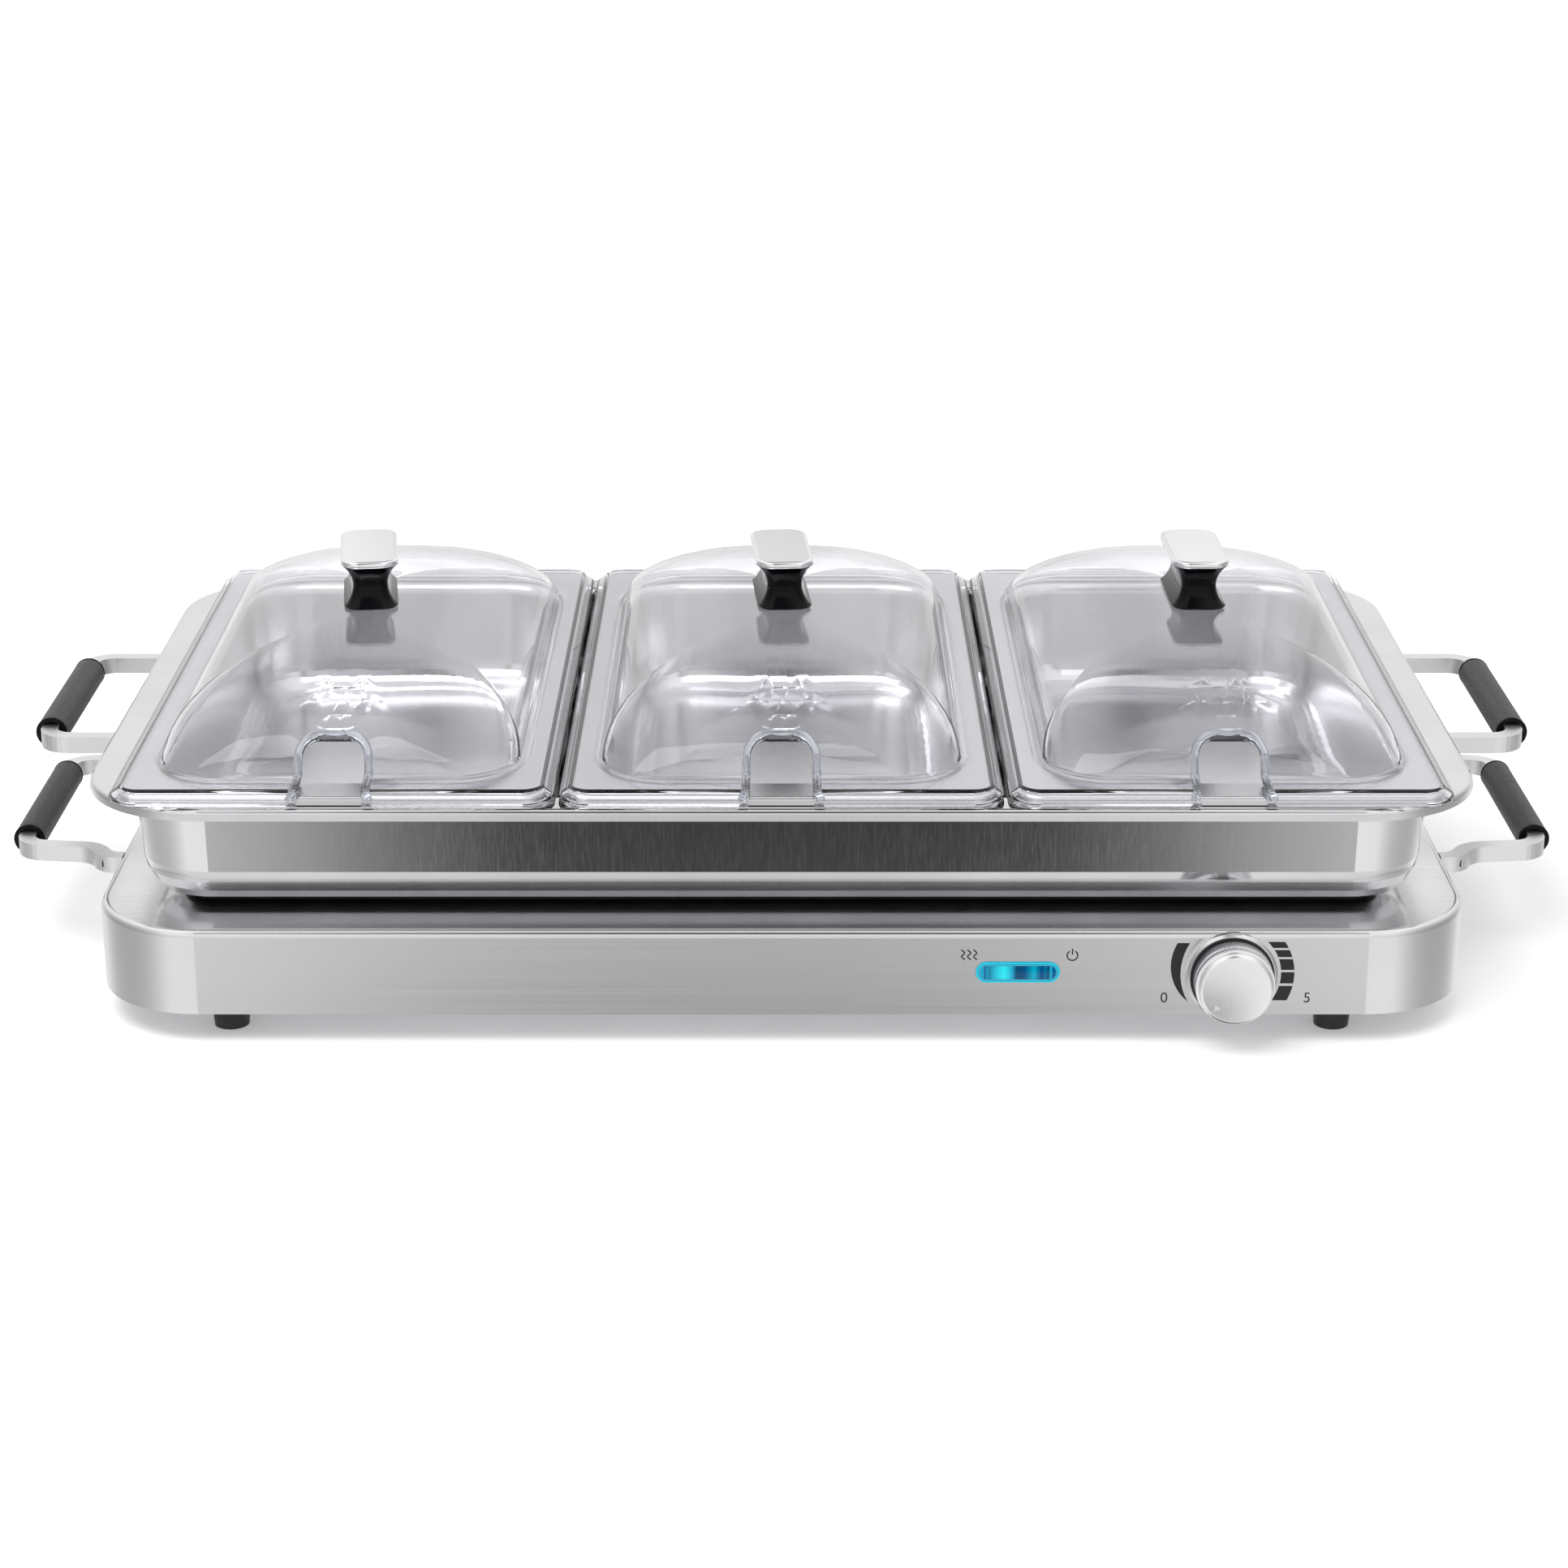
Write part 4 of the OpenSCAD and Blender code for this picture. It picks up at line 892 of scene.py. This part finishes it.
crescent = strip(-11.7, 13.5, lambda z: -4 - half_chord(20.3, z - 3.9),
                 lambda z: 5.4 - half_chord(25.7, z - 0.9))
print(printed(crescent, "off_crescent", DIAL.x, DIAL.z).name)
LEVELS = [(11.4, 14.0), (7.5, 10.5), (2.0, 6.6), (-3.8, 1.0), (-11.1, -4.9)]
for i, (low, high) in enumerate(LEVELS):
    block = strip(low, high, lambda z: half_chord(19.7, z), lambda z: half_chord(25.0, z), 6)
    printed(block, "level_block_%d" % (i + 1), DIAL.x, DIAL.z)

# %% [markdown]
# ## Signs by the window and the dial
#
# Three rising waves say heat and a broken ring with a bar says power. They are thin rods
# flattened against the panel. The numbers at the ends of the scale are flat letters,
# made a mesh first.

# %% Print the signs
LINE = 0.28


def flat_line(points):
    """A flattened rod along (x, z) points, lying on the floor."""
    bm = rod("line", [Vector((x, z, 0)) * MM for x, z in points], LINE, 2)
    bmesh.ops.scale(bm, vec=(1, 1, PRINT / LINE), verts=bm.verts)
    return bm


def joined(parts):
    """Several bmeshes as one."""
    whole = bmesh.new()
    for part in parts:
        mesh = bpy.data.meshes.new("part")
        part.to_mesh(mesh)
        part.free()
        whole.from_mesh(mesh)
        bpy.data.meshes.remove(mesh)
    return whole


waves = [flat_line([(x + 0.6 * math.sin(z * 2.1), z) for z in [i * 0.25 - 2.25 for i in range(19)]])
         for x in (-2.4, 0, 2.4)]
ring = flat_line(arc((0, -0.3), 2.1, 122, 418, 24))
bar = flat_line([(0, 0.1), (0, 2.6)])
for name, lines, x in (("heat_sign", waves, 74.5), ("power_sign", [ring, bar], 115.5)):
    print(piece(outward(joined(lines), x, 38.0), name, "panel_black", "base").name)

for name, text, x in (("scale_start", "0", 152.5), ("scale_end", "5", 209.5)):
    letters = bpy.data.curves.new(name, "FONT")
    letters.body = text
    letters.size = 6.2 * MM
    letters.align_x = "CENTER"
    letters.extrude = PRINT / 2 * MM
    held = bpy.data.objects.new(name, letters)
    scene.collection.objects.link(held)
    bpy.context.view_layer.update()
    mesh = bpy.data.meshes.new_from_object(held)
    bpy.data.objects.remove(held)
    bm = bmesh.new()
    bm.from_mesh(mesh)
    bmesh.ops.remove_doubles(bm, verts=bm.verts, dist=1e-6)
    print(piece(outward(bm, x, 17.5), name, "panel_black", "base").name)

# %% [markdown]
# ## Lamp window
#
# A long blue lens with round ends covers two lamps. The left lamp is lit, so the lens
# glows there and darkens towards the other end, where the ribs inside show as bars. Both
# are one ramp along the lens. Its thick edge pipes the light, so a second ramp, on the
# distance from the lens's middle line, lays a bright outline over the first.

# %% Make the lamp window
WINDOW = Vector((94, 0, 30.6))
WINDOW_HALF = 17
SPINE_HALF = 12.4
lens = bpy.data.materials.new("cyan_lens")
lens.use_nodes = True
tree = lens.node_tree
shader = tree.nodes["Principled BSDF"]
shader.inputs["Roughness"].default_value = 0.08
shader.inputs["Coat Weight"].default_value = 0.4
shader.inputs["Coat Roughness"].default_value = 0.03
split = tree.nodes.new("ShaderNodeSeparateXYZ")
tree.links.new(tree.nodes.new("ShaderNodeTexCoord").outputs["Object"], split.inputs[0])
along = tree.nodes.new("ShaderNodeMapRange")
along.inputs["From Min"].default_value = (WINDOW.x - WINDOW_HALF) * MM
along.inputs["From Max"].default_value = (WINDOW.x + WINDOW_HALF) * MM
tree.links.new(split.outputs["X"], along.inputs["Value"])
GLOW = [
    (0.00, (0.00, 0.36, 0.60)), (0.09, (0.00, 0.40, 0.62)), (0.115, (0.00, 0.06, 0.25)),
    (0.14, (0.00, 0.35, 0.55)), (0.165, (0.00, 0.20, 0.30)), (0.20, (0.01, 0.38, 0.55)),
    (0.28, (0.02, 0.70, 0.85)), (0.34, (0.03, 0.88, 0.97)), (0.40, (0.02, 0.58, 0.74)),
    (0.44, (0.01, 0.34, 0.54)), (0.475, (0.00, 0.05, 0.13)), (0.54, (0.00, 0.04, 0.14)),
    (0.58, (0.00, 0.05, 0.22)), (0.62, (0.00, 0.17, 0.30)), (0.69, (0.00, 0.42, 0.62)),
    (0.735, (0.00, 0.17, 0.29)), (0.78, (0.00, 0.03, 0.20)), (0.82, (0.00, 0.15, 0.30)),
    (0.86, (0.00, 0.04, 0.12)), (0.885, (0.02, 0.48, 0.74)), (0.91, (0.00, 0.05, 0.22)),
    (1.00, (0.00, 0.36, 0.60)),
]
glow = ramp(tree, along.outputs[0], GLOW)


def reckoned(how, first, second=None, amount=0.0):
    """Works out one value from two, or from a value and a number."""
    node = tree.nodes.new("ShaderNodeMath")
    node.operation = how
    tree.links.new(first, node.inputs[0])
    if second:
        tree.links.new(second, node.inputs[1])
    else:
        node.inputs[1].default_value = amount
    return node.outputs[0]


sidestep = reckoned("ABSOLUTE", reckoned("SUBTRACT", split.outputs["X"], amount=WINDOW.x * MM))
past_middle = reckoned("MAXIMUM", reckoned("SUBTRACT", sidestep, amount=SPINE_HALF * MM), amount=0)
upward = reckoned("SUBTRACT", split.outputs["Z"], amount=WINDOW.z * MM)
from_spine = reckoned("SQRT", reckoned("ADD", reckoned("MULTIPLY", past_middle, past_middle),
                                       reckoned("MULTIPLY", upward, upward)))
edge = tree.nodes.new("ShaderNodeMapRange")
edge.inputs["From Min"].default_value = 2.7 * MM
edge.inputs["From Max"].default_value = 4.3 * MM
tree.links.new(from_spine, edge.inputs["Value"])
RIM_LIGHT = [(0.0, (0.0, 0.0, 0.0)), (0.12, (0.0, 0.02, 0.10)), (0.22, (0.25, 0.75, 0.85)),
             (0.32, (0.0, 0.33, 0.52)), (0.62, (0.01, 0.52, 0.70)), (0.85, (0.03, 0.78, 0.92)),
             (1.0, (0.02, 0.40, 0.60))]
rim_light = ramp(tree, edge.outputs[0], RIM_LIGHT)
outer = tree.nodes.new("ShaderNodeMapRange")
outer.inputs["From Min"].default_value = 0.0
outer.inputs["From Max"].default_value = 0.14
tree.links.new(edge.outputs[0], outer.inputs["Value"])
lens_light = tree.nodes.new("ShaderNodeMix")
lens_light.data_type = "RGBA"
tree.links.new(outer.outputs[0], lens_light.inputs["Factor"])
tree.links.new(glow, lens_light.inputs[6])
tree.links.new(rim_light, lens_light.inputs[7])
tree.links.new(lens_light.outputs[2], shader.inputs["Emission Color"])
shader.inputs["Emission Strength"].default_value = 0.9
shader.inputs["Base Color"].default_value = (0.0, 0.03, 0.05, 1)
shader.inputs["Specular IOR Level"].default_value = 0.1
FINISHES["cyan_lens"] = lens

lens_edge = [(0.0, 0.0), (0.0, 0.35), (-0.25, 0.68), (-0.7, 0.8), (-1.1, 0.72)]
rings = [Ring(16.75 + out, 4.4 + out, 4.35 + out, up) for out, up in lens_edge]
bm = ringed(rings, 10, close=True)
outward(bm, WINDOW.x, WINDOW.z)
print(piece(bm, "lamp_window", "cyan_lens", "base", ["indicator_lens"]).name)

# %% [markdown]
# ## Soft edges on the bars
#
# Square bars have slightly rounded edges that catch the light. A Weld and a Bevel
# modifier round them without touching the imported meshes.

# %% Soften the carried bars
for name in CARRIED["bar_steel"].split():
    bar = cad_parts[name]
    bar.modifiers.new("weld", "WELD").merge_threshold = 0.002 * MM
    soft = bar.modifiers.new("soft_edges", "BEVEL")
    soft.width = 0.8 * MM
    soft.segments = 2
    soft.limit_method = "ANGLE"
    soft.angle_limit = math.radians(50)
print("bars softened")

# %% Update the scene
bpy.context.view_layer.update()
